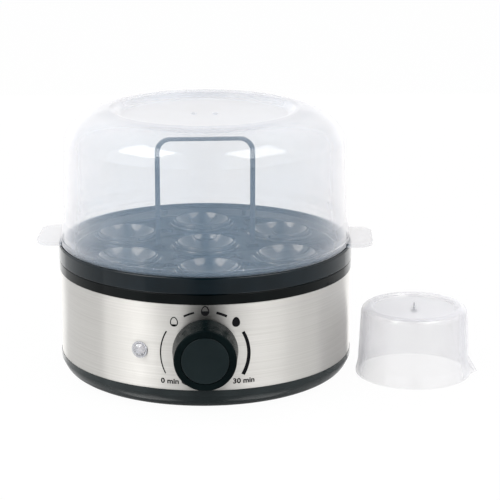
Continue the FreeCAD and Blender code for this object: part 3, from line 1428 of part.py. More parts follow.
def lid():
    """Translucent dome with a thick rim, two flat grips, a sunk disc and two steam holes."""
    outer = lid_blank(0.0, LID_SEAT)
    rim_top = LID_SEAT + LID_RIM_HEIGHT
    rim = turned([
        (LID_BAND_RADIUS - LID_WALL, LID_SEAT, 0),
        (LID_RIM_RADIUS, LID_SEAT, 0.5),
        (LID_RIM_RADIUS, rim_top, LID_RIM_ROUND / 2),
        (LID_BAND_RADIUS - LID_WALL, rim_top, 0),
    ])
    grip = prism(rectangle(2 * GRIP_REACH, GRIP_WIDTH, GRIP_CORNER), LID_SEAT, LID_SEAT + GRIP_THICKNESS)
    bosses = [post(LID_VENT_BOSS, LID_DISC_HEIGHT - 0.5, LID_DISC_HEIGHT + LID_VENT_BOSS_HEIGHT,
                   side * LID_VENT_SPACING / 2) for side in (-1, 1)]
    body = fused([outer, rim, grip] + bosses)
    hollow = lid_blank(LID_WALL, LID_SEAT - 1)
    holes = [post(LID_VENT_RADIUS, LID_DISC_HEIGHT - 5, LID_DISC_HEIGHT + 5,
                  side * LID_VENT_SPACING / 2) for side in (-1, 1)]
    body = cut(body, [hollow] + holes)
    body.rotate(ORIGIN, UP, LID_TURN)
    return body


# Measuring cup

def measure_blank(inset, foot):
    """Body of the cup under its outer form, moved inwards by an inset."""
    top = MEASURE_HEIGHT - inset
    dish = MEASURE_DISH_DEPTH
    return turned([
        (0, foot, 0),
        (MEASURE_FLARE_RADIUS - inset, foot, 0),
        (MEASURE_FLARE_RADIUS - inset, 1.5, 1.0),
        (MEASURE_MOUTH_RADIUS - inset, MEASURE_FLARE_HEIGHT, 3.0),
        (MEASURE_TOP_RADIUS - inset, top, MEASURE_SHOULDER - inset),
        (MEASURE_DISH_RADIUS + 1.2, top, 0.8),
        (MEASURE_DISH_RADIUS, top - dish, 0.8),
        (0, top - dish, 0),
    ])


def spout_blank(inset):
    """Pouring lip: a wedge at the mouth that fades into the wall above."""
    reach = SPOUT_REACH - inset
    half = SPOUT_HALF_WIDTH - inset
    root = MEASURE_MOUTH_RADIUS - 4.0
    low_wire = Part.makePolygon([
        Vec(root, -half - 3.0, 0),
        Vec(MEASURE_FLARE_RADIUS - 1.2, -half, 0),
        Vec(reach - 0.6, -0.8, 0),
        Vec(reach - 0.6, 0.8, 0),
        Vec(MEASURE_FLARE_RADIUS - 1.2, half, 0),
        Vec(root, half + 3.0, 0),
        Vec(root, -half - 3.0, 0),
    ])
    height = SPOUT_HEIGHT - inset
    edge = MEASURE_MOUTH_RADIUS - inset - 0.4
    high_wire = Part.makePolygon([
        Vec(root, -2.0, height),
        Vec(edge - 0.6, -1.4, height),
        Vec(edge, -0.4, height),
        Vec(edge, 0.4, height),
        Vec(edge - 0.6, 1.4, height),
        Vec(root, 2.0, height),
        Vec(root, -2.0, height),
    ])
    return Part.makeLoft([low_wire, high_wire], True, True)


def measuring_cup():
    """Translucent cup standing on its mouth, with a pouring lip and a dished base on top."""
    outside = fused([measure_blank(0.0, 0.0), spout_blank(0.0)])
    inside = measure_blank(MEASURE_WALL, -1.0)
    lip_hollow = spout_blank(MEASURE_WALL)
    lip_hollow.translate(Vec(0, 0, -0.01))
    floor_cut = post(PIERCER_BASE_RADIUS * 0.35, 0, MEASURE_HEIGHT + 5)
    body = cut(outside, [inside, lip_hollow, floor_cut])
    body.translate(Vec(MEASURE_X, MEASURE_Y, 0))
    return body


def piercing_pin():
    """Steel pin for pricking eggs, held from inside the cup's base."""
    base = MEASURE_HEIGHT - MEASURE_DISH_DEPTH
    under = base - MEASURE_WALL
    shank = PIERCER_BASE_RADIUS * 0.35 - 0.05
    pin = turned([
        (0, under - PIERCER_BASE, 0),
        (PIERCER_BASE_RADIUS, under - PIERCER_BASE, 0.3),
        (PIERCER_BASE_RADIUS, under, 0),
        (shank, under, 0),
        (shank, base + 1.0, 0),
        (PIERCER_RADIUS, base + 1.4, 0),
        (PIERCER_RADIUS, base + PIERCER_HEIGHT - 1.2, 0),
        (0.05, base + PIERCER_HEIGHT, 0),
        (0, base + PIERCER_HEIGHT, 0),
    ])
    pin.translate(Vec(MEASURE_X, MEASURE_Y, 0))
    return pin


def build():
    """Writes every node."""
    os.makedirs("parts", exist_ok=True)
    second_pinion, second_wheel = wheel_set(second_position(), MAIN_LEVEL, SECOND_LEVEL,
                                            SECOND_ANGLE, THIRD_ANGLE, SECOND_TEETH)
    third_pinion, third_wheel = wheel_set(third_position(), SECOND_LEVEL, THIRD_LEVEL,
                                          THIRD_ANGLE, ESCAPE_ANGLE, THIRD_TEETH)
    nodes = {
        "base_pan": base_pan(),
        "rubber_feet": rubber_feet(),
        "base_screws": base_screws(),
        "steel_band": steel_band(),
        "top_collar": top_collar(),
        "heating_bowl": heating_bowl(),
        "bowl_seal": bowl_seal(),
        "bowl_screws": bowl_screws(),
        "heating_element": heating_element(),
        "heat_shield": heat_shield(),
        "shield_screw": shield_screw(),
        "thermostat": thermostat(),
        "thermal_fuse": thermal_fuse(),
        "fuse_clip": fuse_clip(),
        "knob_shell": knob_shell(),
        "knob_disc": knob_disc(),
        "timer_arbor": timer_arbor(),
        "main_wheel": main_wheel(),
        "spring_barrel": spring_barrel(),
        "switch_cam": switch_cam(),
        "second_pinion": second_pinion,
        "second_wheel": second_wheel,
        "third_pinion": third_pinion,
        "third_wheel": third_wheel,
        "escape_pinion": escape_pinion(),
        "escapement_case": escapement_case(),
        "timer_front_plate": timer_front_plate(),
        "timer_back_plate": timer_back_plate(),
        "timer_pillars": timer_pillars(),
        "timer_screws": timer_screws(),
        "contact_block": contact_block(),
        "contact_leaves": contact_leaves(),
        "timer_bell": timer_bell(),
        "indicator_lens": indicator_lens(),
        "lens_retainer": lens_retainer(),
        "neon_lamp": neon_lamp(),
        "cord_gland": cord_gland(),
        "cord_clamp": cord_clamp(),
        "clamp_screws": clamp_screws(),
        "terminal_block": terminal_block(),
        "egg_tray": egg_tray(),
        "tray_handle": tray_handle(),
        "lid": lid(),
        "measuring_cup": measuring_cup(),
        "piercing_pin": piercing_pin(),
    }
    for name, shapes in nodes.items():
        save(name, shapes)


build()
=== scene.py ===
import math

import bpy
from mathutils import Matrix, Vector


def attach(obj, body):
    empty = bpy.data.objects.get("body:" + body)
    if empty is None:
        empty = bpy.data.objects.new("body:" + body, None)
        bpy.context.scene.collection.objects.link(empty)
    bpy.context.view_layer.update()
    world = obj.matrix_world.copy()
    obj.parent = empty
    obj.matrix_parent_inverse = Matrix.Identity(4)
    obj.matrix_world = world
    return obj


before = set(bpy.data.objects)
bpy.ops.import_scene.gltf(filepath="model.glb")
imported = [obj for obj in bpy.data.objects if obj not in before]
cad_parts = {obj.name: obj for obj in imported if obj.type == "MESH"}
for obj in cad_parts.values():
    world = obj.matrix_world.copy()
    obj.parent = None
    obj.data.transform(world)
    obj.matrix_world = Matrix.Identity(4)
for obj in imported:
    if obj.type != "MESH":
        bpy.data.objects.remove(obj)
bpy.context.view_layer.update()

# Sizes in metres, as in the construction
BAND_RADIUS = 0.0890
KNOB_HEIGHT = 0.0386
INK = 0.00004                 # the print stands this far outside the band

# Camera, as the photograph shows the object
EYE = Vector((0.0061, -1.1066, 0.3770))
SIGHT = Vector((0.0185, 0.9643, -0.2640))
LENS_MM = 134.35

# The dial's print, measured along the band from below the knob's axis
DIAL_DROP = 0.0024
DIAL_RADIUS = 0.0259
EGG_HEIGHT = 0.0059
EGG_WIDTH = 0.0047
TEXT_HEIGHT = 0.0033
TEXT_BASE = -0.0206
EGG_TAPER = 0.16              # share by which it is narrower towards its top, wider towards its bottom
EGG_LINE = 0.00062
EGG_POINTS = 40
LETTER_WEIGHT = 0.032         # how much bolder than plain, as a share of the letters' size
EGGS = [
    # name, middle, level below which it is filled, from its middle
    ("soft", (-0.0180, 0.0170), -0.0014),
    ("medium", (0.0, 0.0239), -0.0001),
    ("hard", (0.0178, 0.0167), 1.0),
]
ARCS = [
    # name, first and last angle from the top, radius, width at each end, steps
    ("dash_left", -28.3, -14.0, DIAL_RADIUS, 0.0012, 0.0012, 8),
    ("dash_right", 14.4, 28.8, DIAL_RADIUS, 0.0015, 0.0015, 8),
    ("arc_thin", -59.0, -117.5, 0.0262, 0.00085, 0.0007, 28),
    ("arc_thick", 59.5, 120.5, 0.0254, 0.0019, 0.0023, 28),
]
NUMBERS = [
    # name, text, left end, right end
    ("zero", "0 min", -0.0262, -0.0155),
    ("thirty", "30 min", 0.0160, 0.0288),
]

# Tray: where its coats of polish change
CUPS_END = 0.0805             # radius
SKIRT_START = 0.0825
TILTED = 0.95                 # upward share of a face's direction where its polish starts to fade
LEVEL = 0.995                 # and where it is gone

WHITE = (1, 1, 1, 1)

# Light of the studio, as strengths
SKY_LOW = 1.9                 # from the sides
SKY_HIGH = 1.0                # from above
SKY_TURN = (0.1, 0.9)         # upward share of a direction where the one gives way to the other
SKY_COLOUR = (0.97, 0.985, 1.0, 1)
GLOSS_FRONT = 0.38            # white that glossy surfaces mirror from in front of the object
GLOSS_SIDES = 0.92            # the same from beside and behind it
GLOSS_TURN = (-0.97, -0.72)   # backward share of a direction where the one gives way to the other
FLOOR_FRONT = 0.22            # the same off the floor, in front
FLOOR_SIDES = 0.95            # the same off the floor, beside and behind
FLOOR_TURN = (-0.30, -0.06)   # Y on the floor where the one gives way to the other
SECOND_MIRROR = 1.2           # white at a second mirroring, from the sides only
SECOND_TURN = (0.08, 0.30)    # how far to the side it sets in and is full

# Floor, as shares
GLOSS_FLOOR = 0.25            # white in a mirrored ray that meets the floor
FLOOR_POLISH = 0.55           # polish in what is left of that ray
FLOOR_WHITE = 0.97            # white where the floor is seen directly
FLOOR_TONE = (0.62, 0.62, 0.62, 1)
FLOOR_ROUGHNESS = 0.10
FLOOR_REACH = 8.0

LAMPS = [
    # name, azimuth from the front towards the viewer's left, distance, height, width and height, power
    ("softbox_left", 64.0, 0.80, 0.62, (0.72, 1.24), 2.6),
    ("softbox_right", -56.0, 0.80, 0.62, (0.76, 1.24), 0.7),
    ("core_left", 64.5, 0.52, 0.74, (0.45, 0.40), 3.2),
    ("core_right", -57.0, 0.52, 0.74, (0.48, 0.40), 2.8),
    ("back_panel", 180.0, 0.90, 0.18, (1.60, 0.35), 1.9),
]
LAMP_COLOUR = (1.0, 0.995, 0.985)
LAMP_AIM = Vector((0, 0, 0.08))


# Node helpers

def new_material(name):
    """Empty material with its output; returns the material and its node tree."""
    material = bpy.data.materials.new(name)
    material.use_nodes = True
    tree = material.node_tree
    tree.nodes.clear()
    tree.nodes.new("ShaderNodeOutputMaterial")
    return material, tree


def node(tree, kind, **settings):
    """New node with its properties; values for its sockets go in a dict named inputs."""
    made = tree.nodes.new(kind)
    for key, value in settings.pop("inputs", {}).items():
        made.inputs[key].default_value = value
    for key, value in settings.items():
        setattr(made, key, value)
    return made


def join(tree, source, target):
    """Links one socket to another."""
    tree.links.new(source, target)


def output_of(tree):
    """The material's output node."""
    return next(n for n in tree.nodes if n.type == "OUTPUT_MATERIAL")


def principled(tree, **values):
    """Principled shader joined to the output."""
    shader = tree.nodes.new("ShaderNodeBsdfPrincipled")
    for key, value in values.items():
        shader.inputs[key.replace("_", " ")].default_value = value
    join(tree, shader.outputs["BSDF"], output_of(tree).inputs["Surface"])
    return shader


def object_place(tree, scale=(1.0, 1.0, 1.0)):
    """Object coordinates in metres, scaled."""
    place = node(tree, "ShaderNodeTexCoord")
    mapping = node(tree, "ShaderNodeMapping")
    mapping.inputs["Scale"].default_value = scale
    join(tree, place.outputs["Object"], mapping.inputs["Vector"])
    return mapping.outputs["Vector"]


def noise(tree, vector, scale, detail, roughness):
    """Value of a soft noise at a place."""
    made = node(tree, "ShaderNodeTexNoise", inputs={
        "Scale": scale, "Detail": detail, "Roughness": roughness})
    join(tree, vector, made.inputs["Vector"])
    return made.outputs["Fac"]


def ranged(tree, source, low, high, from_low=0.0, from_high=1.0):
    """A value moved from one range to another."""
    made = node(tree, "ShaderNodeMapRange", inputs={
        "From Min": from_low, "From Max": from_high, "To Min": low, "To Max": high})
    join(tree, source, made.inputs["Value"])
    return made.outputs["Result"]


def mixed(tree, factor, first, second):
    """Colour between two colours, which may be plain or sockets."""
    made = node(tree, "ShaderNodeMix", data_type="RGBA")
    for index, value in ((6, first), (7, second)):
        if isinstance(value, bpy.types.NodeSocket):
            join(tree, value, made.inputs[index])
        else:
            made.inputs[index].default_value = value
    join(tree, factor, made.inputs[0])
    return made.outputs[2]


def blended(tree, share, first, second):
    """Mix of two shaders; the share is a number or a socket."""
    made = tree.nodes.new("ShaderNodeMixShader")
    if isinstance(share, float):
        made.inputs[0].default_value = share
    else:
        join(tree, share, made.inputs[0])
    join(tree, first, made.inputs[1])
    join(tree, second, made.inputs[2])
    return made.outputs["Shader"]


def uneven(tree, source, low, high, tail=0.35):
    """A noise value spread between two numbers, with its rare extremes cut off."""
    return ranged(tree, source, low, high, tail, 1.0 - tail)


def patches(tree, source, first, second):
    """Two tones in soft patches that follow a noise."""
    return mixed(tree, uneven(tree, source, 0.0, 1.0), first, second)


def bump(tree, height, strength, distance):
    """Relief from a height value."""
    made = node(tree, "ShaderNodeBump", inputs={"Strength": strength, "Distance": distance})
    join(tree, height, made.inputs["Height"])
    return made.outputs["Normal"]


def around_axis(tree, along, across):
    """Coordinates wrapped round the Z axis: angle times along, height times across, in metres."""
    place = node(tree, "ShaderNodeTexCoord")
    parts = node(tree, "ShaderNodeSeparateXYZ")
    join(tree, place.outputs["Object"], parts.inputs["Vector"])
    angle = node(tree, "ShaderNodeMath", operation="ARCTAN2")
    join(tree, parts.outputs["X"], angle.inputs[0])
    join(tree, parts.outputs["Y"], angle.inputs[1])
    arc = node(tree, "ShaderNodeMath", operation="MULTIPLY", inputs={1: BAND_RADIUS * along})
    join(tree, angle.outputs["Value"], arc.inputs[0])
    height = node(tree, "ShaderNodeMath", operation="MULTIPLY", inputs={1: across})
    join(tree, parts.outputs["Z"], height.inputs[0])
    together = node(tree, "ShaderNodeCombineXYZ")
    join(tree, arc.outputs["Value"], together.inputs["X"])
    join(tree, height.outputs["Value"], together.inputs["Y"])
    return together.outputs["Vector"]


# Materials

def brushed_steel(name, colour, dark, roughness):
    """Steel brushed round the axis: long fine scratches in colour, roughness and relief."""
    material, tree = new_material(name)
    shader = principled(tree, Metallic=1.0, Anisotropic=1.0, Anisotropic_Rotation=0.25)
    tangent = node(tree, "ShaderNodeTangent", direction_type="RADIAL", axis="Z")
    join(tree, tangent.outputs["Tangent"], shader.inputs["Tangent"])
    fine = noise(tree, around_axis(tree, 22.0, 5200.0), 1.0, 3.0, 0.6)
    coarse = noise(tree, around_axis(tree, 9.0, 1100.0), 1.0, 2.0, 0.5)
    cloud = noise(tree, around_axis(tree, 14.0, 26.0), 1.0, 2.0, 0.5)
    streak = node(tree, "ShaderNodeMath", operation="ADD")
    join(tree, fine, streak.inputs[0])
    join(tree, coarse, streak.inputs[1])
    share = ranged(tree, streak.outputs["Value"], 0.0, 1.0, 0.72, 1.28)
    toned = mixed(tree, share, dark, colour)
    join(tree, toned, shader.inputs["Base Color"])
    rough = node(tree, "ShaderNodeMath", operation="ADD")
    join(tree, ranged(tree, share, roughness - 0.05, roughness + 0.05), rough.inputs[0])
    join(tree, uneven(tree, cloud, -0.02, 0.02, 0.3), rough.inputs[1])
    join(tree, rough.outputs["Value"], shader.inputs["Roughness"])
    join(tree, bump(tree, streak.outputs["Value"], 0.12, 0.00002), shader.inputs["Normal"])
    return material


def glossy_plastic(name, colour, light, roughness, shine):
    """Moulded gloss plastic: faint flow marks, slight orange peel, small changes of gloss."""
    material, tree = new_material(name)
    shader = principled(tree, Specular_IOR_Level=shine, IOR=1.5)
    place = object_place(tree)
    flow = noise(tree, place, 60.0, 3.0, 0.55)
    join(tree, patches(tree, flow, colour, light), shader.inputs["Base Color"])
    wipe = noise(tree, place, 240.0, 4.0, 0.6)
    worn = uneven(tree, wipe, roughness * 0.75, roughness * 1.35, 0.3)
    join(tree, worn, shader.inputs["Roughness"])
    peel = noise(tree, place, 900.0, 2.0, 0.5)
    join(tree, bump(tree, peel, 0.02, 0.0001), shader.inputs["Normal"])
    return material


def cupped_plastic(name, colour, light):
    """Black plastic with polished walls and rims and duller level plates."""
    material, tree = new_material(name)
    place = object_place(tree)
    flow = noise(tree, place, 60.0, 3.0, 0.55)
    toned = patches(tree, flow, colour, light)
    peel = bump(tree, noise(tree, place, 900.0, 2.0, 0.5), 0.002, 0.0001)
    coats = []
    # inside the cups, on the skirt round them and on level faces
    for shine, smooth, worn in ((0.60, 0.04, 0.07), (0.20, 0.05, 0.09), (0.01, 0.30, 0.40)):
        shader = principled(tree, Specular_IOR_Level=shine, IOR=1.5)
        join(tree, toned, shader.inputs["Base Color"])
        join(tree, uneven(tree, flow, smooth, worn, 0.3), shader.inputs["Roughness"])
        join(tree, peel, shader.inputs["Normal"])
        coats.append(shader.outputs["BSDF"])
    flat_place = node(tree, "ShaderNodeVectorMath", operation="MULTIPLY", inputs={1: (1.0, 1.0, 0.0)})
    join(tree, place, flat_place.inputs[0])
    reach = node(tree, "ShaderNodeVectorMath", operation="LENGTH")
    join(tree, flat_place.outputs["Vector"], reach.inputs[0])
    skirt = ranged(tree, reach.outputs["Value"], 0.0, 1.0, CUPS_END, SKIRT_START)
    walls = blended(tree, skirt, coats[0], coats[1])
    parts = node(tree, "ShaderNodeSeparateXYZ")
    join(tree, node(tree, "ShaderNodeTexCoord").outputs["Normal"], parts.inputs["Vector"])
    level = ranged(tree, parts.outputs["Z"], 0.0, 1.0, TILTED, LEVEL)
    join(tree, blended(tree, level, walls, coats[2]), output_of(tree).inputs["Surface"])
    return material


def satin_plastic(name, colour, light, roughness, grain):
    """Moulded plastic or rubber with a fine spark-eroded grain."""
    material, tree = new_material(name)
    shader = principled(tree, Specular_IOR_Level=0.4)
    place = object_place(tree)
    patch = noise(tree, place, 90.0, 3.0, 0.6)
    join(tree, patches(tree, patch, colour, light), shader.inputs["Base Color"])
    grains = noise(tree, place, 2600.0, 2.0, 0.6)
    worn = uneven(tree, grains, roughness - 0.08, roughness + 0.08, 0.3)
    join(tree, worn, shader.inputs["Roughness"])
    join(tree, bump(tree, grains, grain, 0.0002), shader.inputs["Normal"])
    return material


def plain_metal(name, colour, dark, roughness):
    """Turned or stamped metal with small changes of tone and fine scratches."""
    material, tree = new_material(name)
    shader = principled(tree, Metallic=1.0)
    place = object_place(tree)
    tone = noise(tree, place, 320.0, 4.0, 0.6)
    join(tree, patches(tree, tone, dark, colour), shader.inputs["Base Color"])
    worn = uneven(tree, tone, roughness + 0.07, roughness - 0.05)
    join(tree, worn, shader.inputs["Roughness"])
    scratch = noise(tree, object_place(tree, (1.0, 6.0, 1.0)), 1500.0, 2.0, 0.6)
    join(tree, bump(tree, scratch, 0.05, 0.0001), shader.inputs["Normal"])
    return material


def thin_shine(tree, low, power, high=1.0):
    """Share of light that a thin wall mirrors or scatters: little face on, much at a glancing angle."""
    facing = node(tree, "ShaderNodeLayerWeight", inputs={"Blend": 0.5})
    curve = node(tree, "ShaderNodeMath", operation="POWER", inputs={1: power})
    join(tree, facing.outputs["Facing"], curve.inputs[0])
    return ranged(tree, curve.outputs["Value"], low, high)


def scattering(tree, colour):
    """Thin pale layer that is lit from both sides."""
    front = tree.nodes.new("ShaderNodeBsdfDiffuse")
    back = tree.nodes.new("ShaderNodeBsdfTranslucent")
    for shader in (front, back):
        join(tree, colour, shader.inputs["Color"])
    return blended(tree, 0.5, front.outputs["BSDF"], back.outputs["BSDF"])


def milky_plastic(name, veil, pale, through, cover, roughness, shine=0.03):
    """Translucent polypropylene: a bluish veil face on, milky at a glancing angle, with faint clouds."""
    material, tree = new_material(name)
    place = object_place(tree)
    cloud = noise(tree, place, 16.0, 4.0, 0.55)
    share = uneven(tree, cloud, 0.0, 1.0)
    weaker = tuple(0.94 * c for c in veil[:3]) + (1,)
    veil_body = scattering(tree, mixed(tree, share, weaker, veil))
    duller = tuple(0.97 * c for c in pale[:3]) + (1,)
    pale_body = scattering(tree, mixed(tree, share, duller, pale))
    clear = node(tree, "ShaderNodeBsdfTransparent", inputs={"Color": through})
    patchy = uneven(tree, cloud, cover * 0.92, cover * 1.08)
    wall = blended(tree, patchy, clear.outputs["BSDF"], veil_body)
    milky = blended(tree, thin_shine(tree, 0.0, 2.6, 0.8), wall, pale_body)
    gloss = tree.nodes.new("ShaderNodeBsdfGlossy")
    fine = noise(tree, place, 420.0, 3.0, 0.6)
    worn = uneven(tree, fine, roughness * 0.8, roughness * 1.25, 0.3)
    join(tree, worn, gloss.inputs["Roughness"])
    waves = noise(tree, place, 70.0, 2.0, 0.5)
    join(tree, bump(tree, waves, 0.012, 0.0004), gloss.inputs["Normal"])
    whole = blended(tree, thin_shine(tree, shine, 5.0, 0.35), milky, gloss.outputs["BSDF"])
    join(tree, whole, output_of(tree).inputs["Surface"])
    return material


def clear_plastic(name):
    """Clear lens plastic."""
    material, tree = new_material(name)
    shader = principled(tree, Transmission_Weight=0.75, IOR=1.49)
    place = object_place(tree)
    tone = noise(tree, place, 400.0, 2.0, 0.5)
    toned = mixed(tree, tone, (0.86, 0.87, 0.92, 1), (0.96, 0.96, 0.99, 1))
    join(tree, toned, shader.inputs["Base Color"])
    join(tree, ranged(tree, tone, 0.05, 0.14), shader.inputs["Roughness"])
    return material


def printed_ink(name):
    """Screen-printed ink: nearly black, slightly uneven."""
    material, tree = new_material(name)
    shader = principled(tree, Specular_IOR_Level=0.05)
    spots = noise(tree, object_place(tree), 3000.0, 2.0, 0.5)
    toned = mixed(tree, spots, (0.002, 0.002, 0.003, 1), (0.008, 0.008, 0.009, 1))
    join(tree, toned, shader.inputs["Base Color"])
    join(tree, ranged(tree, spots, 0.4, 0.6), shader.inputs["Roughness"])
    return material


MATERIALS = {
    "pan": glossy_plastic("moulded_base", (0.008, 0.012, 0.013, 1), (0.011, 0.016, 0.017, 1),
                          roughness=0.16, shine=0.20),
    "gloss_black": glossy_plastic("gloss_black", (0.002, 0.0050, 0.0055, 1), (0.004, 0.0075, 0.008, 1),
                                  roughness=0.09, shine=0.12),
    "tray_black": cupped_plastic("tray_black", (0.001, 0.004, 0.006, 1), (0.002, 0.006, 0.009, 1)),
    "steel": brushed_steel("brushed_band", (0.56, 0.55, 0.53, 1), (0.47, 0.46, 0.44, 1),
                           roughness=0.34),
    "bowl_coat": satin_plastic("coated_bowl", (0.02, 0.02, 0.021, 1), (0.035, 0.035, 0.036, 1),
                               roughness=0.45, grain=0.15),
    "silicone": satin_plastic("silicone", (0.34, 0.34, 0.33, 1), (0.42, 0.42, 0.41, 1),
                              roughness=0.55, grain=0.1),
    "rubber": satin_plastic("rubber", (0.012, 0.012, 0.013, 1), (0.022, 0.022, 0.023, 1),
                            roughness=0.7, grain=0.3),
    "screw": plain_metal("screw_steel", (0.55, 0.54, 0.52, 1), (0.38, 0.37, 0.36, 1),
                         roughness=0.3),
    "element": plain_metal("element_tube", (0.36, 0.34, 0.31, 1), (0.22, 0.2, 0.18, 1),
                           roughness=0.4),
    "shield": plain_metal("pressed_shield", (0.75, 0.76, 0.77, 1), (0.6, 0.61, 0.62, 1),
                          roughness=0.35),
    "ceramic": satin_plastic("ceramic", (0.75, 0.73, 0.68, 1), (0.82, 0.8, 0.76, 1),
                             roughness=0.5, grain=0.08),
    "brass": plain_metal("brass", (0.78, 0.56, 0.24, 1), (0.55, 0.38, 0.15, 1), roughness=0.28),
    "zinc": plain_metal("zinc_plate", (0.62, 0.63, 0.65, 1), (0.45, 0.46, 0.48, 1), roughness=0.35),
    "clear": clear_plastic("clear_lens"),
    "neon": satin_plastic("lamp_glass", (0.72, 0.62, 0.58, 1), (0.8, 0.7, 0.66, 1),
                          roughness=0.2, grain=0.02),
    "milky": milky_plastic("milky_lid", (0.55, 0.75, 0.98, 1), (0.83, 0.815, 0.825, 1),
                           (1.0, 0.975, 0.95, 1), cover=0.122, roughness=0.05, shine=0.026),
    "pale_plastic": satin_plastic("pale_plastic", (0.7, 0.69, 0.66, 1), (0.78, 0.77, 0.74, 1),
                                  roughness=0.45, grain=0.05),
}
NODE_MATERIALS = {
    # the collar: a darker copy of the housing's gloss black, painted shade that keeps the lit collar
    # nearly black
    "top_collar": glossy_plastic("collar_black_painted_shade", (0.0004, 0.0012, 0.0014, 1), (0.0008, 0.002, 0.0022, 1),
                                 roughness=0.07, shine=0.10),
    # the knob's shell: a darker copy of the knob's black plastic, painted shade so that its top, lit
    # from above, stays black
    "knob_shell": glossy_plastic("knob_black_painted_shade", (0.0014, 0.0034, 0.0038, 1), (0.0022, 0.0050, 0.0054, 1),
                                 roughness=0.26, shine=0.03),
    # the knob's face: a lighter copy of the same black plastic, painted light for the floor that the
    # face mirrors
    "knob_disc": glossy_plastic("knob_face_painted_light", (0.0046, 0.0088, 0.0098, 1), (0.0062, 0.0110, 0.0120, 1),
                                roughness=0.15, shine=0.14),
    # the handle: its lighter, bluer tone is painted sheen for the light its top catches from above; its
    # stronger gloss is real
    "tray_handle": glossy_plastic("handle_bow_painted_sheen", (0.016, 0.026, 0.040, 1), (0.022, 0.034, 0.050, 1),
                                  roughness=0.16, shine=0.5),
    "measuring_cup": milky_plastic("milky_cup", (0.68, 0.69, 0.735, 1), (0.74, 0.74, 0.77, 1),
                                   (1.0, 0.995, 0.99, 1), cover=0.16, roughness=0.12),
}


def dress_nodes():
    """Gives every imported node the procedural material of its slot, or its own."""
    for name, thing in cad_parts.items():
        for holder in thing.material_slots:
            slot = holder.material.name.split(".")[0] if holder.material else ""
            holder.material = NODE_MATERIALS.get(name, MATERIALS.get(slot, holder.material))


# Objects

def add_object(name, data):
    """New object in the scene."""
    made = bpy.data.objects.new(name, data)
    bpy.context.scene.collection.objects.link(made)
    return made


def place_facing(thing, location, direction):
    """Puts a lamp or the camera at a place, looking in a direction."""
    thing.location = location
    thing.rotation_mode = "QUATERNION"
    thing.rotation_quaternion = direction.to_track_quat("-Z", "Y")


# Print on the band

def on_band(along, up):
    """Point of the print, at an arc length from the knob's middle and a height from its axis."""
    radius = BAND_RADIUS + INK
    angle = along / BAND_RADIUS
    return Vector((radius * math.sin(angle), -radius * math.cos(angle), KNOB_HEIGHT + up))


def print_sheet(name, vertices, faces, ink):
    """Thin sheet of ink from flat (along, up) points, laid on the band."""
    mesh = bpy.data.meshes.new(name)
    mesh.from_pydata([on_band(a, b) for a, b in vertices], [], faces)
    mesh.materials.append(ink)
    mesh.update()
    piece = add_object(name, mesh)
    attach(piece, "housing")


def strip(points, widths):
    """Flat strip along a line of points with a width at each; returns vertices and faces."""
    vertices = []
    faces = []
    for index, point in enumerate(points):
        before = points[max(index - 1, 0)]
        after = points[min(index + 1, len(points) - 1)]
        dx, dy = after[0] - before[0], after[1] - before[1]
        length = math.hypot(dx, dy)
        nx, ny = -dy / length, dx / length
        half = widths[index] / 2
        vertices.append((point[0] + nx * half, point[1] + ny * half))
        vertices.append((point[0] - nx * half, point[1] - ny * half))
        if index:
            k = 2 * index
            faces.append((k - 2, k - 1, k + 1, k))
    return vertices, faces


def dial_arc(start, end, radius, first_width, last_width, steps):
    """Strip along an arc about the dial's middle; angles from the top, clockwise."""
    points = []
    widths = []
    for index in range(steps + 1):
        part = index / steps
        angle = math.radians(start + (end - start) * part)
        points.append((radius * math.sin(angle), radius * math.cos(angle) - DIAL_DROP))
        widths.append(first_width + (last_width - first_width) * part)
    return strip(points, widths)


def egg_point(angle, grow):
    """Outline of an egg with its blunt end down, grown by a distance."""
    half_width = EGG_WIDTH / 2 + grow
    half_height = EGG_HEIGHT / 2 + grow
    up = math.cos(angle)
    taper = 1.0 - EGG_TAPER * up
    return (half_width * math.sin(angle) * taper, half_height * up)


def egg_outline(centre):
    """Ring of ink in the shape of an egg."""
    vertices = []
    faces = []
    for index in range(EGG_POINTS):
        angle = 2 * math.pi * index / EGG_POINTS
        for grow in (0.0, -EGG_LINE):
            x, y = egg_point(angle, grow)
            vertices.append((centre[0] + x, centre[1] + y))
        k = 2 * index
        n = (k + 2) % (2 * EGG_POINTS)
        faces.append((k, k + 1, n + 1, n))
    return vertices, faces


def egg_fill(centre, level):
    """Filled part of an egg below a level from its middle."""
    rows = []
    for index in range(EGG_POINTS + 1):
        angle = math.pi * index / EGG_POINTS
        x, y = egg_point(angle, 0.0)
        if y <= level:
            rows.append((x, y))
    vertices = []
    faces = []
    for index, (x, y) in enumerate(rows):
        vertices.append((centre[0] - x, centre[1] + y))
        vertices.append((centre[0] + x, centre[1] + y))
        if index:
            k = 2 * index
            faces.append((k - 2, k, k + 1, k - 1))
    return vertices, faces


def lettering(name, text, left, right, ink):
    """Plain letters fitted between two places on the band."""
    curve = bpy.data.curves.new(name + "_letters", "FONT")
    curve.body = text
    curve.size = 1.0
    curve.resolution_u = 3
    curve.offset = LETTER_WEIGHT
    source = add_object(name + "_letters", curve)
    bpy.context.view_layer.update()
    flat = bpy.data.meshes.new_from_object(source)
    bpy.data.objects.remove(source)
    low = min(v.co.x for v in flat.vertices)
    high = max(v.co.x for v in flat.vertices)
    base = min(v.co.y for v in flat.vertices)
    top = max(v.co.y for v in flat.vertices)
    wide = (right - left) / (high - low)
    tall = TEXT_HEIGHT / (top - base)
    vertices = []
    for vertex in flat.vertices:
        along = left + (vertex.co.x - low) * wide
        vertices.append((along, TEXT_BASE + (vertex.co.y - base) * tall))
    faces = [tuple(p.vertices) for p in flat.polygons]
    bpy.data.meshes.remove(flat)
    print_sheet(name, vertices, faces, ink)


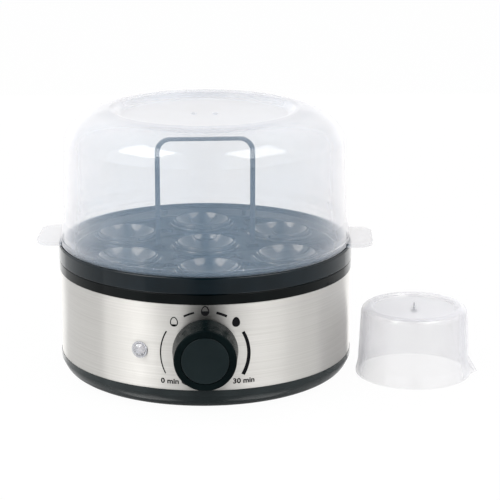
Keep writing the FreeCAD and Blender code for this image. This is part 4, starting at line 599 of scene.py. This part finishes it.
def dial_print():
    """Egg symbols, dashes, the two time arcs and the numbers under them."""
    ink = printed_ink("dial_ink")
    for name, centre, level in EGGS:
        print_sheet("print_egg_" + name, *egg_outline(centre), ink)
        print_sheet("print_yolk_" + name, *egg_fill(centre, level), ink)
    for name, *shape in ARCS:
        print_sheet("print_" + name, *dial_arc(*shape), ink)
    for name, text, left, right in NUMBERS:
        lettering("print_" + name, text, left, right, ink)


# Stage

def either(tree, first, second):
    """The larger of two values."""
    made = node(tree, "ShaderNodeMath", operation="MAXIMUM")
    join(tree, first, made.inputs[0])
    join(tree, second, made.inputs[1])
    return made.outputs["Value"]


def scaled(tree, source, factor):
    """A value times a number."""
    made = node(tree, "ShaderNodeMath", operation="MULTIPLY", inputs={1: factor})
    join(tree, source, made.inputs[0])
    return made.outputs["Value"]


def mirror_strength(tree, path, front, sides, turn, place):
    """Strength of the white that glossy surfaces mirror: less in front, only the sides a second time."""
    parts = node(tree, "ShaderNodeSeparateXYZ")
    join(tree, place, parts.inputs["Vector"])
    first = ranged(tree, parts.outputs["Y"], front, sides, *turn)
    aside = node(tree, "ShaderNodeMath", operation="ABSOLUTE")
    join(tree, parts.outputs["X"], aside.inputs[0])
    second = ranged(tree, aside.outputs["Value"], 0.0, SECOND_MIRROR, *SECOND_TURN)
    chosen = node(tree, "ShaderNodeMix", data_type="FLOAT")
    join(tree, ranged(tree, path.outputs["Ray Depth"], 0.0, 1.0, 1.0, 2.0), chosen.inputs[0])
    join(tree, first, chosen.inputs[2])
    join(tree, second, chosen.inputs[3])
    return chosen.outputs[0]


def floor_material():
    """Pale glossy table that shows as white and keeps the object's shadow."""
    material, tree = new_material("pale_floor")
    path = node(tree, "ShaderNodeLightPath")
    mirrored = path.outputs["Is Glossy Ray"]
    spread = node(tree, "ShaderNodeBsdfDiffuse", inputs={"Color": FLOOR_TONE})
    polish = node(tree, "ShaderNodeBsdfGlossy", inputs={"Color": WHITE, "Roughness": FLOOR_ROUGHNESS})
    shine = scaled(tree, mirrored, FLOOR_POLISH)
    top = blended(tree, shine, spread.outputs["BSDF"], polish.outputs["BSDF"])
    white = node(tree, "ShaderNodeEmission", inputs={"Color": WHITE})
    place = node(tree, "ShaderNodeTexCoord").outputs["Object"]
    dimmer = mirror_strength(tree, path, FLOOR_FRONT, FLOOR_SIDES, FLOOR_TURN, place)
    strength = node(tree, "ShaderNodeMix", data_type="FLOAT", inputs={2: 1.0})
    join(tree, mirrored, strength.inputs[0])
    join(tree, dimmer, strength.inputs[3])
    join(tree, strength.outputs[0], white.inputs["Strength"])
    seen = either(tree, path.outputs["Is Camera Ray"], path.outputs["Is Transmission Ray"])
    share = either(tree, scaled(tree, seen, FLOOR_WHITE), scaled(tree, mirrored, GLOSS_FLOOR))
    whole = blended(tree, share, top, white.outputs["Emission"])
    join(tree, whole, output_of(tree).inputs["Surface"])
    return material


def build_floor():
    """Large flat floor."""
    mesh = bpy.data.meshes.new("floor")
    corners = [(FLOOR_REACH * x, FLOOR_REACH * y, 0) for x, y in ((-1, -1), (1, -1), (1, 1), (-1, 1))]
    mesh.from_pydata(corners, [], [(0, 1, 2, 3)])
    mesh.materials.append(floor_material())
    floor = add_object("floor", mesh)


def build_world():
    """White studio, a little dimmer in front of the object."""
    world = bpy.data.worlds.new("studio")
    bpy.context.scene.world = world
    world.use_nodes = True
    tree = world.node_tree
    tree.nodes.clear()
    out = tree.nodes.new("ShaderNodeOutputWorld")
    light = node(tree, "ShaderNodeBackground", inputs={"Color": SKY_COLOUR})
    white = node(tree, "ShaderNodeBackground", inputs={"Color": WHITE, "Strength": 1.0})
    mirrored = node(tree, "ShaderNodeBackground", inputs={"Color": WHITE})
    around = node(tree, "ShaderNodeTexCoord").outputs["Generated"]
    parts = node(tree, "ShaderNodeSeparateXYZ")
    join(tree, around, parts.inputs["Vector"])
    sky = ranged(tree, parts.outputs["Z"], SKY_LOW, SKY_HIGH, *SKY_TURN)
    join(tree, sky, light.inputs["Strength"])
    path = node(tree, "ShaderNodeLightPath")
    strength = mirror_strength(tree, path, GLOSS_FRONT, GLOSS_SIDES, GLOSS_TURN, around)
    join(tree, strength, mirrored.inputs["Strength"])
    seen = either(tree, path.outputs["Is Camera Ray"], path.outputs["Is Transmission Ray"])
    glossy = path.outputs["Is Glossy Ray"]
    lit = blended(tree, glossy, light.outputs["Background"], mirrored.outputs["Background"])
    whole = blended(tree, seen, lit, white.outputs["Background"])
    join(tree, whole, out.inputs["Surface"])


def build_lamps():
    """Two tall softboxes, a smaller lamp nearer and higher on each side, and a panel behind."""
    for name, azimuth, distance, height, size, power in LAMPS:
        data = bpy.data.lights.new(name, "AREA")
        data.shape = "RECTANGLE"
        data.size, data.size_y = size
        data.energy = power
        data.color = LAMP_COLOUR
        lamp = add_object(name, data)
        angle = math.radians(azimuth)
        location = Vector((-distance * math.sin(angle), -distance * math.cos(angle), height))
        place_facing(lamp, location, LAMP_AIM - location)
        lamp.visible_camera = False


def build_camera():
    """Camera where the photograph was taken from."""
    data = bpy.data.cameras.new("camera")
    data.lens = LENS_MM
    data.sensor_width = 36.0
    data.clip_end = 50.0
    camera = add_object("camera", data)
    place_facing(camera, EYE, SIGHT)
    bpy.context.scene.camera = camera


dress_nodes()
dial_print()
build_floor()
build_world()
build_lamps()
build_camera()
bpy.context.scene.view_settings.view_transform = "Standard"
